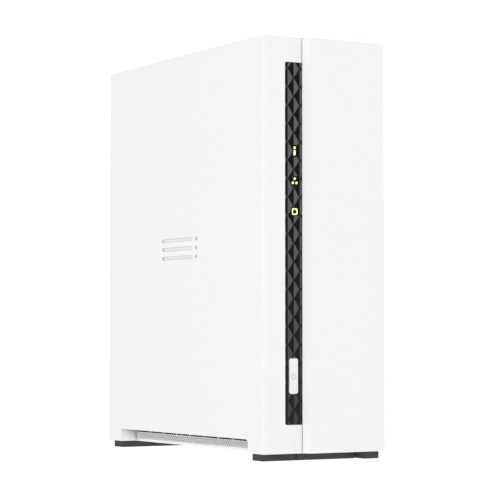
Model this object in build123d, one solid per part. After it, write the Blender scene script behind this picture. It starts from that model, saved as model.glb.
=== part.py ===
from build123d import *
import os
from math import hypot

os.makedirs("parts", exist_ok=True)

# One-bay network attached storage. Millimetres. +X is to the right when the front is faced,
# the front looks along -Y, +Z is up, and the origin is on the floor under the middle.

# ---------------------------------------------------------------- driving dimensions
# Housing
body_width = 63.0  # left side to right side
body_depth = 154.4  # proud front panel to rear rim
body_top = 188.6  # floor to top face
foot_height = 3.3  # floor to the underside
wall = 2.0
cover_width = 20.3  # left side to the middle of the seam
seam_gap = 0.45
front_step = 3.0  # how far the right-hand panel stands in front of the cover
panel_bevel = 2.4  # width of the bevel between the two along the seam
corner_radius = 1.5  # upright corners of the cover and the rear corners
panel_corner_radius = 1.2  # upright front corner of the right-hand panel
rim_radius = 0.7  # edges round the top and the underside
lap_depth = 3.0  # how far the housing's tongue reaches under the cover
lap_wall = 1.2
lap_clearance = 0.25

# Sunk sign on the left side
mark_middle_y = 2.9
mark_middle_z = 96.7
mark_bar_length = 30.0
mark_bar_height = 1.7
mark_bar_pitch = 4.2
mark_depth = 0.45

# Vent recesses along the bottom of both sides
recess_front = -61.0
recess_rear = 63.0
recess_height = 6.1
recess_depth = 8.6
recess_radius = 1.6
grille_margin = 1.3  # solid rim round the perforated window
grille_ledge = 0.8  # width of the ledge that the grille rests on
grille_hole_pitch = 2.0
grille_hole_radius = 0.45
grille_row_pitch = 0.85
grille_rows = 3
grille_slot_count = 9
grille_slot_height = 0.8
grille_slot_share = 0.96  # of the pitch that a slot takes
grille_slot_margin = 0.1
grille_low_margin = 0.35
grille_clearance = 0.1

# Feet
foot_inset_side = 2.9
foot_inset_front = 8.1
foot_inset_rear = 1.0
foot_strip_depth = 9.3
foot_strip_reach = 20.0  # right-hand end of the long strips
foot_pad_width = 8.2
foot_pad_depth = 9.1
foot_pad_inset_side = 1.8
foot_pad_inset_front = 2.8
foot_radius = 0.5
foot_chamfer = 0.3

# Trim strip, lights and power button
strip_width = 8.95
strip_low = 16.0
strip_high = 177.3
strip_recess = 0.5
strip_corner_radius = 1.0
strip_clearance = 0.15
strip_run_on = 5.0  # of the outline past the seam, where it is cut off
tongue_wall = 1.6
tongue_clearance = 0.3
tongue_margin = 2.5
light_offset = 3.5  # seam to the middle of the signs
status_light_z = 137.6
network_light_z = 124.2
drive_light_z = 110.6
light_dot_radius = 0.66
light_bar_height = 2.5
light_bar_radius = 0.3
light_dot_spread = 0.95
light_ring_size = 3.0
light_ring_line = 0.65
light_ring_radius = 0.85
light_ring_inner_radius = 0.3
light_clearance = 0.05
light_guide_width = 5.4
light_sign_gap = 0.35  # between the status sign's dot and bar
light_bridge = 0.4  # that holds the middle of the drive sign
guide_tip_recess = 0.35
led_height = 0.8
led_width = 1.0
led_length = 1.6
led_gap = 0.4
led_spread = 1.6
button_width = 4.5
button_height = 15.7
button_z = 37.55
button_radius = 0.9
button_gap = 0.45
button_travel = 0.6
button_lip = 0.7  # lip beyond the opening
button_lip_thickness = 1.0
button_lip_gap = 0.15
button_edge_radius = 0.35
button_stem_radius = 1.2
power_sign_drop = 0.55  # middle of the button to the sign
power_sign_radius = 1.3
power_sign_line = 0.35
power_sign_depth = 0.15
power_sign_mouth = 1.1
switch_size = 6.0
switch_height = 3.4
plunger_radius = 1.6
plunger_length = 1.6
plunger_reach = 0.5  # how far the plunger stands out of the switch
plunger_clearance = 0.08
front_board_gap = 5.7  # tongue to front board
board_thickness = 1.6
front_board_low = 28.0
front_board_high = 146.0
front_board_width = 9.0
front_board_screw_zs = (62.0, 96.0)
front_screw_length = 6.2
front_boss_radius = 2.5
board_hole_clearance = 0.1

# Flat lead between the boards
ribbon_z = 79.0
ribbon_width = 8.0
ribbon_thickness = 0.3
ribbon_turn_y = -55.5
ribbon_turn_radius = 2.5
ribbon_plug_offset = 4.8  # seam to the lead's front end
ribbon_socket_gap = 1.3  # mainboard to the lead's rear end
ribbon_slack = 0.05
header_wall = 1.2
header_depth = 2.6
header_slit_depth = 1.6
header_width = 3.2
main_header_height = 2.4
main_header_depth = 5.0
main_header_inset = 1.5

# Back
rear_rim = 1.9  # depth of the rim round the back
cover_flange_width = 8.0
cover_flange_wall = 1.6
cover_flange_clearance = 0.15
panel_thickness = 1.5
panel_clearance = 0.2
cover_screw_inset = 3.0  # inner left face to the two cover screws
cover_screw_low_rise = 16.7  # inner floor to the lower one
cover_screw_drop = 5.6  # inner top to the upper one
rear_screw_inset = 3.5  # inner right face to the panel screws beside it
rear_screw_rise = 9.9
rear_screw_drop = 6.6
rear_middle_x = -4.0  # panel screws near the seam
rear_middle_rise = 5.7
rear_middle_drop = 5.6
rear_boss_width = 8.0
rear_boss_depth = 9.2
rear_screw_length = 8.0
cover_screw_length = 6.0
cover_screw_slack = 0.1  # left loose by a hair, so that the cover slides
side_vent_count = 9
side_vent_x = -8.0
side_vent_low = 32.0
side_vent_pitch = 7.5
side_vent_width = 22.0
side_vent_height = 3.0
lock_slot_width = 7.0
lock_slot_height = 3.0
lock_slot_x = -14.0
lock_slot_z = 112.0

# Fan
fan_size = 50.0
fan_thickness = 15.0
fan_z = 150.0
fan_hole_spacing = 40.0
fan_bore_radius = 24.0
fan_blade_radius = 23.3
fan_hub_radius = 13.0
fan_blade_count = 7
fan_blade_angle = 38.0
fan_shaft_radius = 1.5
fan_running_clearance = 0.06
fan_end_clearance = 0.5
fan_corner_radius = 3.0
fan_cup_radius = 13.4
fan_cup_thickness = 1.6
fan_strut_width = 3.0
fan_strut_turn = 20.0
fan_sleeve_radius = 4.0
fan_sleeve_length = 9.0
fan_hub_wall = 1.2
fan_blade_thickness = 1.0
fan_lead_radius = 1.1
fan_lead_x = 14.0
fan_lead_gap = 6.55  # lead's way down to the fan
fan_lead_low = 104.0
fan_lead_bend = 2.8
fan_lead_inset = 4.0
fan_header_height = 3.6
fan_header_width = 7.0
fan_header_length = 6.0
honeycomb_flat = 2.0  # half the pitch of the vent honeycomb
honeycomb_radius = 1.8
honeycomb_reach = 21.5

# Frame, drive carrier and 3.5-inch drive
drive_length = 147.0
drive_width = 101.6
drive_height = 26.1
drive_centre_y = 1.5
drive_rise = 17.7  # inner floor to the drive
drive_face_x = 0.8  # underside of the drive, which faces right
drive_hole_first = 41.28
drive_hole_pitch = 44.45
drive_hole_spacing = 95.25
drive_corner_radius = 3.0
drive_lid_thickness = 0.6
drive_plug_offset = 27.0
drive_plug_width = 36.0
drive_plug_depth = 8.0
drive_plug_recess = 6.4
drive_plug_inset = 3.4
drive_plug_margin = 0.6
plug_bar_half = 2.4
plug_bar_height = 2.0
plug_blade = 1.2
plug_blade_inset = 2.0
plug_blade_rise = 0.5
disc_drop = 50.0  # drive's top end to the discs' middle
disc_pocket_radius = 47.5
disc_pocket_depth = 18.0
arm_pocket_half = 38.0
arm_pocket_low = 12.0
arm_pocket_high = 60.0
arm_pocket_depth = 17.0
board_pocket_depth = 2.0
board_pocket_clearance = 0.3
drive_board_width = 84.0
drive_board_length = 92.0
drive_board_thickness = 1.0
drive_board_inset = 0.4
lid_inset = 1.0
lid_disc_radius = 43.0
lid_foot_half = 36.0
lid_foot_low = 14.0
lid_foot_high = 62.0
lid_dimple_radius = 9.0
lid_screw_side = 4.0
lid_screw_low = 5.0
lid_screw_middle = 60.0
lid_screw_high = 4.5
lid_screw_length = 5.0
carrier_thickness = 1.2
carrier_gap = 0.2
carrier_lift = 8.0  # travel that unplugs the drive
carrier_inset = 3.0
carrier_margin = 1.0
carrier_hole_radius = 8.0
carrier_hole_pitch_y = 22.0
carrier_hole_pitch_z = 26.0
carrier_hole_rise = 36.0
carrier_hole_rows = 4
drive_screw_length = 5.0
stud_radius = 2.0
stud_head_radius = 3.4
stud_head_height = 1.5
stud_clearance = 0.25
stud_low_ys = (-30.0, 0.0)
stud_side_zs = (150.0, 44.0)  # in front of the drive and behind it
stud_side_reach = 4.9  # drive's side to the side studs
stud_drop = 1.0  # drive's edge to the low studs' heads
stud_play = 0.2  # between head and carrier
stud_slot_width = 1.0
stud_slot_depth = 0.6
stud_thread_end = 0.8
lug_margin = 1.3
frame_thickness = 1.2
post_radius = 3.5
post_ys = (-44.0, 52.5)
post_rise = 9.2  # inner floor to the lower posts
post_drop = 5.6  # inner top to the upper posts
frame_margin_front = 6.0  # plate beyond the posts
frame_margin_rear = 3.8
frame_rise = 4.2
frame_drop = 1.6
frame_fan_gap = 0.75
frame_fan_margin = 1.0
frame_window_half = 28.5
frame_window_rise = 19.0
frame_window_drop = 18.0
frame_plug_margin = 20.5
frame_plug_rise = 3.0
frame_waist = 10.8
frame_waist_rise = 27.0
frame_waist_height = 80.0
frame_screw_length = 9.0

# Riser board and the drive's socket
riser_rise = 8.7  # inner floor to the riser
riser_margin = 1.0
riser_front = 4.0
riser_inset = 3.0  # riser's edge to the mainboard
riser_grip = 6.0
riser_socket_wall = 2.0
riser_slack = 0.05
socket_side = 0.2
socket_foot_front = 3.2
socket_foot_back = 2.4
socket_foot_gap = 0.6
socket_nose_half = 2.2
socket_nose_reach = 5.0
socket_slit_gap = 0.2
socket_slit_inset = 1.5
socket_slit_drop = 1.0

# Mainboard and sockets
board_standoff = 4.0
board_front = -35.0
board_rise = 6.7  # inner floor to the mainboard
board_high = 117.0
board_edge_gap = 0.5
board_hole_inset = 4.0
board_low_hole_rise = 10.0
board_rear_hole_ys = (40.0, 38.0)  # upper and lower
board_rear_hole_drop = 8.0
board_rear_hole_rise = 8.0
boss_radius = 3.0
jack_z = 46.0
jack_width = 16.0
jack_height = 13.5
jack_length = 21.3
jack_mouth_width = 11.8
jack_mouth_height = 8.0
jack_mouth_depth = 14.0
usb_zs = (68.0, 89.0)
usb_width = 13.2
usb_height = 5.8
usb_length = 14.0
usb_sheet = 0.35
inlet_rise = 18.7  # inner floor to the power socket
inlet_width = 9.0
inlet_height = 11.0
inlet_length = 14.2
inlet_bore_radius = 3.2
inlet_pin_radius = 1.25
inlet_bore_depth = 10.0
reset_z = 102.5
reset_radius = 1.0
reset_hole_radius = 1.25
reset_travel = 0.3
reset_inset = 3.4  # mainboard to the reset pin
reset_length = 4.0
reset_recess = 0.5  # panel face to the pin's tip
reset_collar_radius = 1.7
reset_collar_thickness = 0.6
reset_collar_gap = 0.2
reset_bore_depth = 1.0
reset_bore_clearance = 0.1
reset_switch_width = 6.4
reset_switch_depth = 4.5
reset_switch_height = 6.0
socket_clearance = 0.3
socket_proud = 0.3  # sockets beyond the rear panel
jack_mouth_offset = 0.6
jack_clip_depth = 8.0
jack_clip_width = 6.0
jack_clip_reach = 1.5
usb_heel = 2.5
usb_tongue_gap = 1.2
usb_tongue_thickness = 1.8
usb_tongue_half = 5.6
usb_tongue_recess = 0.9
inlet_offset = 0.4
inlet_pin_recess = 1.0

# Parts on the mainboard
chip_y = 6.0
chip_z = 78.0
chip_side = 17.0
chip_height = 1.4
sink_size = 34.0
sink_height = 11.0
sink_base = 3.0
sink_fin_count = 9
sink_fin = 1.3
sink_pin_inset = 3.0
sink_pin_hole = 1.35
sink_pin_radius = 1.25
sink_pin_head_radius = 2.4
sink_pin_head_height = 1.4
sink_pin_well = 3.0
sink_pin_end = 1.2
board_notch_margin = 0.6
board_screw_length = 5.4
capacitor_spots = ((28.0, 104.0), (20.0, 106.0), (-4.0, 106.0))
capacitor_radius = 3.15
capacitor_height = 7.7
capacitor_edge = 0.5
inductor_spots = ((32.0, 90.0), (-26.0, 104.0))
inductor_side = 7.0
inductor_height = 3.8
inductor_chamfer = 1.2
cell_y = -19.0
cell_z = 36.0
cell_radius = 10.0
cell_thickness = 3.2
cell_rise = 1.2
cell_clearance = 0.1
cell_ring_wall = 1.8
cell_ring_height = 3.6
cell_finger_half = 4.0
memory_y = -22.0
memory_zs = (66.0, 90.0)
memory_size = (13.0, 9.0, 1.1)
flash_spot = (4.0, 44.0)
flash_size = (13.0, 11.5, 1.0)
interface_chip_height = 0.9
interface_chip_spots = ((38.0, 46.0, 7.0), (38.0, 72.0, 7.0), (24.0, 34.0, 5.0))

# Fasteners
screw_radius = 1.45
screw_head_radius = 2.7
screw_head_height = 1.5
screw_clearance = 0.25
small_screw_radius = 1.2
small_screw_head_radius = 2.2
small_screw_head_height = 1.1
thread_clearance = 0.02
pilot_end = 0.5  # hole left beyond a screw's end

# ---------------------------------------------------------------- derived places
x_left = -body_width / 2
x_right = body_width / 2
y_front = -body_depth / 2
y_back = body_depth / 2
z_bottom = foot_height
x_seam = x_left + cover_width
x_cover_edge = x_seam - seam_gap / 2
x_panel_edge = x_seam + seam_gap / 2
y_cover = y_front + front_step
x_inner_left = x_left + wall
x_inner_right = x_right - wall
z_inner_low = z_bottom + wall
z_inner_high = body_top - wall
recess_top = z_bottom + recess_height
x_recess_left = x_left + recess_depth
y_tongue = y_cover + wall + tongue_clearance
y_tongue_back = y_tongue + tongue_wall
x_strip = x_cover_edge - (strip_width - seam_gap / 2)
x_strip_middle = (x_strip + x_panel_edge) / 2
y_strip = y_cover + strip_recess
y_front_board = y_tongue_back + front_board_gap
y_flange = y_back - rear_rim
y_flange_inner = y_flange - cover_flange_wall
y_panel = y_flange_inner - cover_flange_clearance
y_panel_inner = y_panel - panel_thickness
x_board = x_inner_right - board_standoff - board_thickness
x_board_back = x_board + board_thickness
y_board_back = y_panel_inner - board_edge_gap
x_carrier = drive_face_x
x_carrier_back = x_carrier + carrier_thickness
x_frame = x_carrier_back + carrier_gap
x_frame_back = x_frame + frame_thickness
board_low = z_inner_low + board_rise
inlet_z = z_inner_low + inlet_rise
cover_screw_x = x_inner_left + cover_screw_inset
cover_screw_low = z_inner_low + cover_screw_low_rise
cover_screw_high = z_inner_high - cover_screw_drop
rear_screw_spots = (
    (x_inner_right - rear_screw_inset, z_inner_low + rear_screw_rise),
    (x_inner_right - rear_screw_inset, z_inner_high - rear_screw_drop),
    (rear_middle_x, z_inner_low + rear_middle_rise),
    (rear_middle_x, z_inner_high - rear_middle_drop),
)
light_x = x_seam - light_offset
light_heights = {"status": status_light_z, "network": network_light_z, "drive": drive_light_z}
ribbon_plug_x = x_seam - ribbon_plug_offset
ribbon_socket_x = x_board - ribbon_socket_gap
foot_front_y = (y_front + foot_inset_front, y_front + foot_inset_front + foot_strip_depth)
foot_rear_y = (y_back - foot_inset_rear - foot_strip_depth, y_back - foot_inset_rear)
foot_left_x = (x_left + foot_inset_side, x_cover_edge)
foot_right_x = (x_panel_edge, foot_strip_reach)
post_zs = (z_inner_low + post_rise, z_inner_high - post_drop)
board_hole_spots = (
    (board_front + board_hole_inset, board_high - board_hole_inset),
    (board_front + board_hole_inset, board_low + board_low_hole_rise),
    (board_rear_hole_ys[0], board_high - board_rear_hole_drop),
    (board_rear_hole_ys[1], board_low + board_rear_hole_rise),
)
y_socket_face = y_panel + socket_proud
reset_x = x_board - reset_inset
reset_tip = y_panel - reset_recess
drive_low = z_inner_low + drive_rise
drive_high = drive_low + drive_length
drive_front = drive_centre_y - drive_width / 2
drive_back = drive_centre_y + drive_width / 2
drive_plug_y = drive_centre_y + drive_plug_offset
x_drive_top = drive_face_x - drive_height
x_lid = x_drive_top + 2 * drive_lid_thickness
disc_middle_z = drive_high - disc_drop
plug_middle_x = drive_face_x - drive_plug_inset
riser_low = z_inner_low + riser_rise
stud_low_z = drive_low - stud_drop - stud_head_radius
stud_side_ys = (drive_front - stud_side_reach, drive_back + stud_side_reach)
fan_front = y_panel_inner - fan_thickness
fan_lead_y = fan_front - fan_lead_gap

RIGHT = (1, 0, 0)
LEFT = (-1, 0, 0)
REARWARD = (0, 1, 0)
FORWARD = (0, -1, 0)


# ---------------------------------------------------------------- helpers
def block(x, y, z):
    """Box between the two ends given on each axis."""
    sizes = [abs(end - start) for start, end in (x, y, z)]
    middles = [(start + end) / 2 for start, end in (x, y, z)]
    return Pos(*middles) * Box(*sizes)


def rod(start, direction, radius, length):
    """Cylinder that starts at a point and runs along a direction."""
    return Plane(origin=start, z_dir=direction) * Pos(0, 0, length / 2) * Cylinder(radius, length)


def rounded_bar(middle, direction, width, height, radius, length):
    """Rounded rectangle, width along X or Y and height along Z, run along a horizontal direction."""
    side = (direction[1], -direction[0], 0)
    face = Plane(origin=middle, x_dir=side, z_dir=direction) * RectangleRounded(width, height, radius)
    return extrude(face, length)


def joined(shapes):
    """All the shapes fused into one."""
    shapes = list(shapes)
    return shapes[0].fuse(*shapes[1:]) if len(shapes) > 1 else shapes[0]


def screw(seat, direction, radius, length, head_radius, head_height):
    """Cross-head screw whose head sits on the seat and whose shank runs along the direction."""
    out = tuple(-part for part in direction)
    head = rod(seat, out, head_radius, head_height)
    head = chamfer(head.faces().sort_by(Axis(seat, out))[-1].edges(), head_height / 3)
    shank = rod(seat, direction, radius, length)
    frame = Plane(origin=tuple(s + o * head_height for s, o in zip(seat, out)), z_dir=out)
    arm = head_radius * 1.1
    slot = head_radius * 0.28
    cross = frame * Box(arm, slot, head_height) + frame * Box(slot, arm, head_height)
    return head + shank - cross


def case_screw(seat, direction, length):
    return screw(seat, direction, screw_radius, length, screw_head_radius, screw_head_height)


def small_screw(seat, direction, length):
    return screw(
        seat, direction, small_screw_radius, length, small_screw_head_radius, small_screw_head_height
    )


def save(name, shape):
    """One STEP per piece, or per group of equal loose pieces."""
    solids = shape.solids()
    whole = solids[0] if len(solids) == 1 else Compound(list(solids))
    whole.label = name
    export_step(whole, f"parts/{name}.step")


def group(shapes):
    return Compound([solid for shape in shapes for solid in shape.solids()])


# ---------------------------------------------------------------- vent recess and grille
def recess_void(side):
    """Space of a vent recess: side is -1 on the left, +1 on the right."""
    outer = side * (body_width / 2 + 1)
    inner = side * (body_width / 2 - recess_depth)
    void = block((outer, inner), (recess_front, recess_rear), (z_bottom - 1, recess_top))
    front_edge = void.edges().filter_by(Axis.X).group_by(Axis.Z)[-1].sort_by(Axis.Y)[0]
    return fillet(front_edge, recess_radius)


def recess_lining(side):
    """Material left round the recess inside the housing."""
    outer = side * body_width / 2
    inner = side * (body_width / 2 - recess_depth - wall)
    return block(
        (outer, inner), (recess_front - wall, recess_rear + wall), (z_bottom, recess_top + wall)
    )


def grille_window(side, margin, start, end):
    """Slab of the recess's upright wall, from depth start to depth end, less a margin all round."""
    face = side * (body_width / 2 - recess_depth)
    return block(
        (face - side * start, face - side * end),
        (recess_front + margin, recess_rear - margin),
        (z_bottom + margin, recess_top - margin / 2),
    )


def grille_seat(side):
    """Stepped opening that the grille drops into from inside."""
    return grille_window(side, grille_margin, 0, wall) + grille_window(
        side, grille_margin - grille_ledge, wall / 2, wall
    )


def vent_grille(side):
    plate = grille_window(side, grille_margin + grille_clearance, 0, wall / 2) + grille_window(
        side, grille_margin - grille_ledge + grille_clearance, wall / 2, wall
    )
    face = side * (body_width / 2 - recess_depth)
    length = recess_rear - recess_front - 2 * grille_margin
    middle_y = (recess_front + recess_rear) / 2
    columns = int(length / grille_hole_pitch) - 2
    low = z_bottom + grille_margin + grille_hole_radius + grille_low_margin
    holes = []
    for row in range(grille_rows):
        shift = grille_hole_pitch / 2 * (row % 2)
        for column in range(columns):
            y = middle_y + (column - (columns - 1) / 2) * grille_hole_pitch + shift
            start = (face + side, y, low + row * grille_row_pitch)
            holes.append(rod(start, (-side, 0, 0), grille_hole_radius, 2 * wall))
    slot_pitch = length / grille_slot_count
    slot_z = recess_top - grille_margin / 2 - grille_slot_height - grille_slot_margin
    for column in range(grille_slot_count):
        y = middle_y + (column - (grille_slot_count - 1) / 2) * slot_pitch
        half = slot_pitch * grille_slot_share / 2
        slot = block((face + side, face - 2 * side * wall), (y - half, y + half),
                     (slot_z, slot_z + grille_slot_height))
        holes.append(slot)
    return plate - holes


# ---------------------------------------------------------------- left cover
def cover_blank():
    """Outer form of the cover, edges rounded everywhere but along the seam."""
    blank = block((x_left, x_cover_edge), (y_cover, y_back), (z_bottom, body_top))
    blank = fillet(blank.edges().filter_by(Axis.Z).group_by(Axis.X)[0], corner_radius)
    rims = blank.faces().filter_by(Axis.Z).edges()
    rims = [edge for edge in rims if edge.center().X < x_cover_edge - 0.01]
    return fillet(rims, rim_radius)


def left_cover():
    """Left side, front strip and rear flange in one moulding, open to the right."""
    cavity = block(
        (x_inner_left, x_cover_edge + 1), (y_cover + wall, y_flange_inner), (z_inner_low, z_inner_high)
    )
    rear_mouth = block(
        (x_inner_left, x_cover_edge + 1), (y_flange, y_back + 1), (z_inner_low, z_inner_high)
    )
    flange_end = block(
        (x_left + cover_flange_width, x_cover_edge + 1),
        (y_flange_inner - 1, y_flange + 1),
        (z_inner_low, z_inner_high),
    )
    strip_notch = rounded_bar(
        ((x_strip + x_cover_edge + strip_run_on) / 2, y_cover - 1, (strip_low + strip_high) / 2),
        REARWARD,
        x_cover_edge + strip_run_on - x_strip,
        strip_high - strip_low,
        strip_corner_radius,
        wall + 2,
    )
    cover = cover_blank() - (cavity - recess_lining(-1)) - rear_mouth - flange_end
    cover = cover - strip_notch - recess_void(-1) - grille_seat(-1)
    notches = [cover_screw_notch(z) for z in (cover_screw_low, cover_screw_high)]
    return cover - notches - maker_mark()


def cover_screw_notch(z):
    """Slot open to the right, so that the cover leaves its loosened screws sideways."""
    radius = screw_radius + screw_clearance
    hole = rod((cover_screw_x, y_flange_inner - 1, z), REARWARD, radius, cover_flange_wall + 2)
    way_out = block(
        (cover_screw_x, x_cover_edge), (y_flange_inner - 1, y_flange + 1), (z - radius, z + radius)
    )
    return hole + way_out


def maker_mark():
    """Plain sunk sign for stacked drives: three bars, each with a dot."""
    cuts = []
    for row in (-1, 0, 1):
        z = mark_middle_z + row * mark_bar_pitch
        start = (x_left - 1, mark_middle_y + mark_bar_height, z)
        cuts.append(
            rounded_bar(start, RIGHT, mark_bar_length, mark_bar_height, mark_bar_height / 2.01,
                        1 + mark_depth)
        )
        dot_y = mark_middle_y - mark_bar_length / 2 - mark_bar_height
        cuts.append(rod((x_left - 1, dot_y, z), RIGHT, mark_bar_height / 2, 1 + mark_depth))
    return cuts


# ---------------------------------------------------------------- housing
def shell_blank():
    """Outer form of the housing: the front panel's left edge is bevelled back to the cover."""
    corners = [
        (x_panel_edge, y_cover),
        (x_panel_edge + panel_bevel, y_front),
        (x_right, y_front),
        (x_right, y_back),
        (x_panel_edge, y_back),
    ]
    outline = make_face(Polyline(*corners, close=True))
    blank = extrude(Pos(0, 0, z_bottom) * outline, body_top - z_bottom)
    right_edges = blank.edges().filter_by(Axis.Z).group_by(Axis.X)[-1].sort_by(Axis.Y)
    blank = fillet(right_edges[0], panel_corner_radius)
    rear_edge = blank.edges().filter_by(Axis.Z).group_by(Axis.X)[-1].sort_by(Axis.Y)[-1]
    blank = fillet(rear_edge, corner_radius)
    rims = blank.faces().filter_by(Axis.Z).edges()
    rims = [edge for edge in rims if edge.center().X > x_panel_edge + 0.01]
    return fillet(rims, rim_radius)


def seam_hook(low, high):
    """Wall behind the bevel, joined to the tongue that the trim strip is fixed to."""
    corners = [
        (x_panel_edge, y_cover),
        (x_panel_edge + panel_bevel, y_front),
        (x_panel_edge + panel_bevel + wall, y_front),
        (x_panel_edge + panel_bevel + wall, y_tongue_back),
        (x_panel_edge, y_tongue_back),
    ]
    outline = make_face(Polyline(*corners, close=True))
    return extrude(Pos(0, 0, low) * outline, high - low)


def tongue():
    """Upright wall that lies behind the cover's front strip, with the laps along top and bottom."""
    low = z_inner_low + lap_clearance
    high = z_inner_high - lap_clearance
    front = block(
        (x_strip - tongue_margin, x_panel_edge + 1), (y_tongue, y_tongue_back), (low, high)
    )
    laps = []
    for edge, inward in ((low, 1), (high, -1)):
        rail = block(
            (x_seam - lap_depth, x_seam + lap_depth),
            (y_tongue, y_panel_inner - 1),
            (edge, edge + inward * lap_wall),
        )
        root = block(
            (x_panel_edge, x_seam + lap_depth),
            (y_tongue, y_panel_inner - 1),
            (edge - inward * lap_clearance, edge + inward * lap_wall),
        )
        laps += [rail, root]
    return front.fuse(*laps)


def rear_bosses():
    """Blocks in the corners that take the rear panel's screws."""
    bosses = []
    for x, z in rear_screw_spots:
        half = rear_boss_width / 2
        ends_x = (x - half, x_inner_right if x > 0 else x + half)
        ends_z = (z_inner_low, z + half) if z < body_top / 2 else (z - half, z_inner_high)
        bosses.append(block(ends_x, (y_panel_inner - rear_boss_depth, y_panel_inner), ends_z))
    return bosses


def main_shell():
    """Right side, proud front panel, top, bottom and all the bosses, open left and at the rear."""
    cavity = block(
        (x_panel_edge - 1, x_inner_right), (y_front + wall, y_back + 1), (z_inner_low, z_inner_high)
    )
    cavity = cavity - seam_hook(z_inner_low - 1, z_inner_high + 1) - recess_lining(1)
    shell = shell_blank() - cavity - recess_void(1) - grille_seat(1)
    additions = [tongue()] + rear_bosses()
    root = wall / 4
    for y in post_ys:
        for z in post_zs:
            additions.append(rod((x_inner_right + root, y, z), LEFT, post_radius,
                                 x_inner_right + root - x_frame_back))
    for y, z in board_hole_spots:
        additions.append(rod((x_inner_right + root, y, z), LEFT, boss_radius, board_standoff + root))
    for z in front_board_screw_zs:
        additions.append(rod((x_strip_middle, y_tongue_back - root, z), REARWARD, front_boss_radius,
                             front_board_gap + root))
    shell = shell.fuse(*additions)
    pilots = []
    for x, z in rear_screw_spots:
        pilots.append(rod((x, y_panel_inner, z), FORWARD, screw_radius + thread_clearance,
                          rear_screw_length + pilot_end))
    for y in post_ys:
        for z in post_zs:
            pilots.append(rod((x_frame_back, y, z), RIGHT, screw_radius + thread_clearance,
                              frame_screw_length + pilot_end))
    for y, z in board_hole_spots:
        pilots.append(rod((x_board_back, y, z), RIGHT, small_screw_radius + thread_clearance,
                          board_screw_length - board_thickness + pilot_end))
    for z in front_board_screw_zs:
        pilots.append(rod((x_strip_middle, y_front_board, z), FORWARD,
                          small_screw_radius + thread_clearance,
                          front_screw_length - board_thickness + pilot_end))
    return shell - pilots - light_windows(light_clearance) - button_way()


# ---------------------------------------------------------------- lights and power button
def light_tips(clearance, front, back):
    """Signs of the three lights, each a list of prisms from front to back."""
    reach = back - front

    def dot(x, z):
        return rod((x, front, z), REARWARD, light_dot_radius + clearance, reach)

    def bar(z, width, height, radius):
        return rounded_bar((light_x, front, z), REARWARD, width, height, radius, reach)

    bar_z = status_light_z - light_sign_gap / 2 - light_dot_radius
    dot_z = bar_z + light_bar_height / 2 + light_sign_gap + light_dot_radius
    width = 2 * (light_dot_radius + clearance)
    status = [dot(light_x, dot_z), bar(bar_z, width, light_bar_height + 2 * clearance, light_bar_radius)]
    network = [
        dot(light_x, network_light_z + light_dot_spread),
        dot(light_x - light_dot_spread, network_light_z - light_dot_spread),
        dot(light_x + light_dot_spread, network_light_z - light_dot_spread),
    ]
    outer = light_ring_size + 2 * clearance
    inner = light_ring_size - 2 * light_ring_line - 2 * clearance
    ring = bar(drive_light_z, outer, outer, light_ring_radius) - bar(
        drive_light_z, inner, inner, light_ring_inner_radius
    )
    bridge = block(
        (light_x - light_bridge / 2 + clearance, light_x + light_bridge / 2 - clearance),
        (front, back),
        (drive_light_z - outer, drive_light_z + outer),
    )
    return {"status": status, "network": network, "drive": [ring - bridge]}


def light_windows(clearance):
    tips = light_tips(clearance, y_cover - 1, y_tongue_back + 1)
    return [prism for prisms in tips.values() for prism in prisms]




def light_guide(name):
    """Clear guide: a block in front of the lights on the board, with the sign's tips in front."""
    tips = light_tips(0, y_strip + guide_tip_recess, y_tongue_back + 0.5)[name]
    z = light_heights[name]
    half = light_guide_width / 2
    body = block(
        (light_x - half, light_x + half),
        (y_tongue_back, y_front_board - led_height - led_gap),
        (z - half, z + half),
    )
    return joined([body] + tips)


def button_outline(grow, front, back):
    """Prism of the button's rounded outline, grown all round."""
    return rounded_bar(
        (x_strip_middle, front, button_z), REARWARD, button_width + 2 * grow,
        button_height + 2 * grow, button_radius + max(grow, 0), back - front,
    )


def button_way():
    return button_outline(button_gap, y_cover - 1, y_tongue_back + 1)


def power_button():
    """Cap through the strip, with a lip behind the tongue and a stem on the switch."""
    cap = button_outline(0, y_cover, y_tongue_back + button_lip_gap + button_lip_thickness / 2)
    cap = fillet(cap.faces().sort_by(Axis.Y)[0].edges(), button_edge_radius)
    lip_front = y_tongue_back + button_lip_gap
    lip = button_outline(button_gap + button_lip, lip_front, lip_front + button_lip_thickness)
    stem_start = lip_front + button_lip_thickness / 2
    stem = rod((x_strip_middle, stem_start, button_z), REARWARD, button_stem_radius,
               y_front_board - switch_height - plunger_reach - stem_start)
    return joined([cap, lip, stem]) - power_sign()


def power_sign():
    """Shallow power sign in the cap: an open ring and a bar."""
    front = (x_strip_middle, y_cover - 1, button_z - power_sign_drop)
    depth = 1 + power_sign_depth
    ring = rod(front, REARWARD, power_sign_radius, depth) - rod(
        front, REARWARD, power_sign_radius - power_sign_line, depth
    )
    gap = block(
        (x_strip_middle - power_sign_mouth / 2, x_strip_middle + power_sign_mouth / 2),
        (y_cover - 1, y_cover + 1),
        (front[2], front[2] + 2 * power_sign_radius),
    )
    bar = block(
        (x_strip_middle - power_sign_line / 2, x_strip_middle + power_sign_line / 2),
        (front[1], front[1] + depth),
        (front[2] + power_sign_line, front[2] + power_sign_radius + power_sign_line),
    )
    return ring - gap + bar


def power_switch():
    """Snap switch on the front board, bored for its plunger."""
    half = switch_size / 2
    body = block(
        (x_strip_middle - half, x_strip_middle + half), (y_front_board - switch_height, y_front_board),
        (button_z - half, button_z + half),
    )
    bore = rod((x_strip_middle, y_front_board - switch_height, button_z), REARWARD,
               plunger_radius + plunger_clearance,
               plunger_length - plunger_reach + button_travel + 2 * plunger_clearance)
    return body - bore


def switch_plunger():
    return rod((x_strip_middle, y_front_board - switch_height - plunger_reach, button_z), REARWARD,
               plunger_radius, plunger_length)


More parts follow.
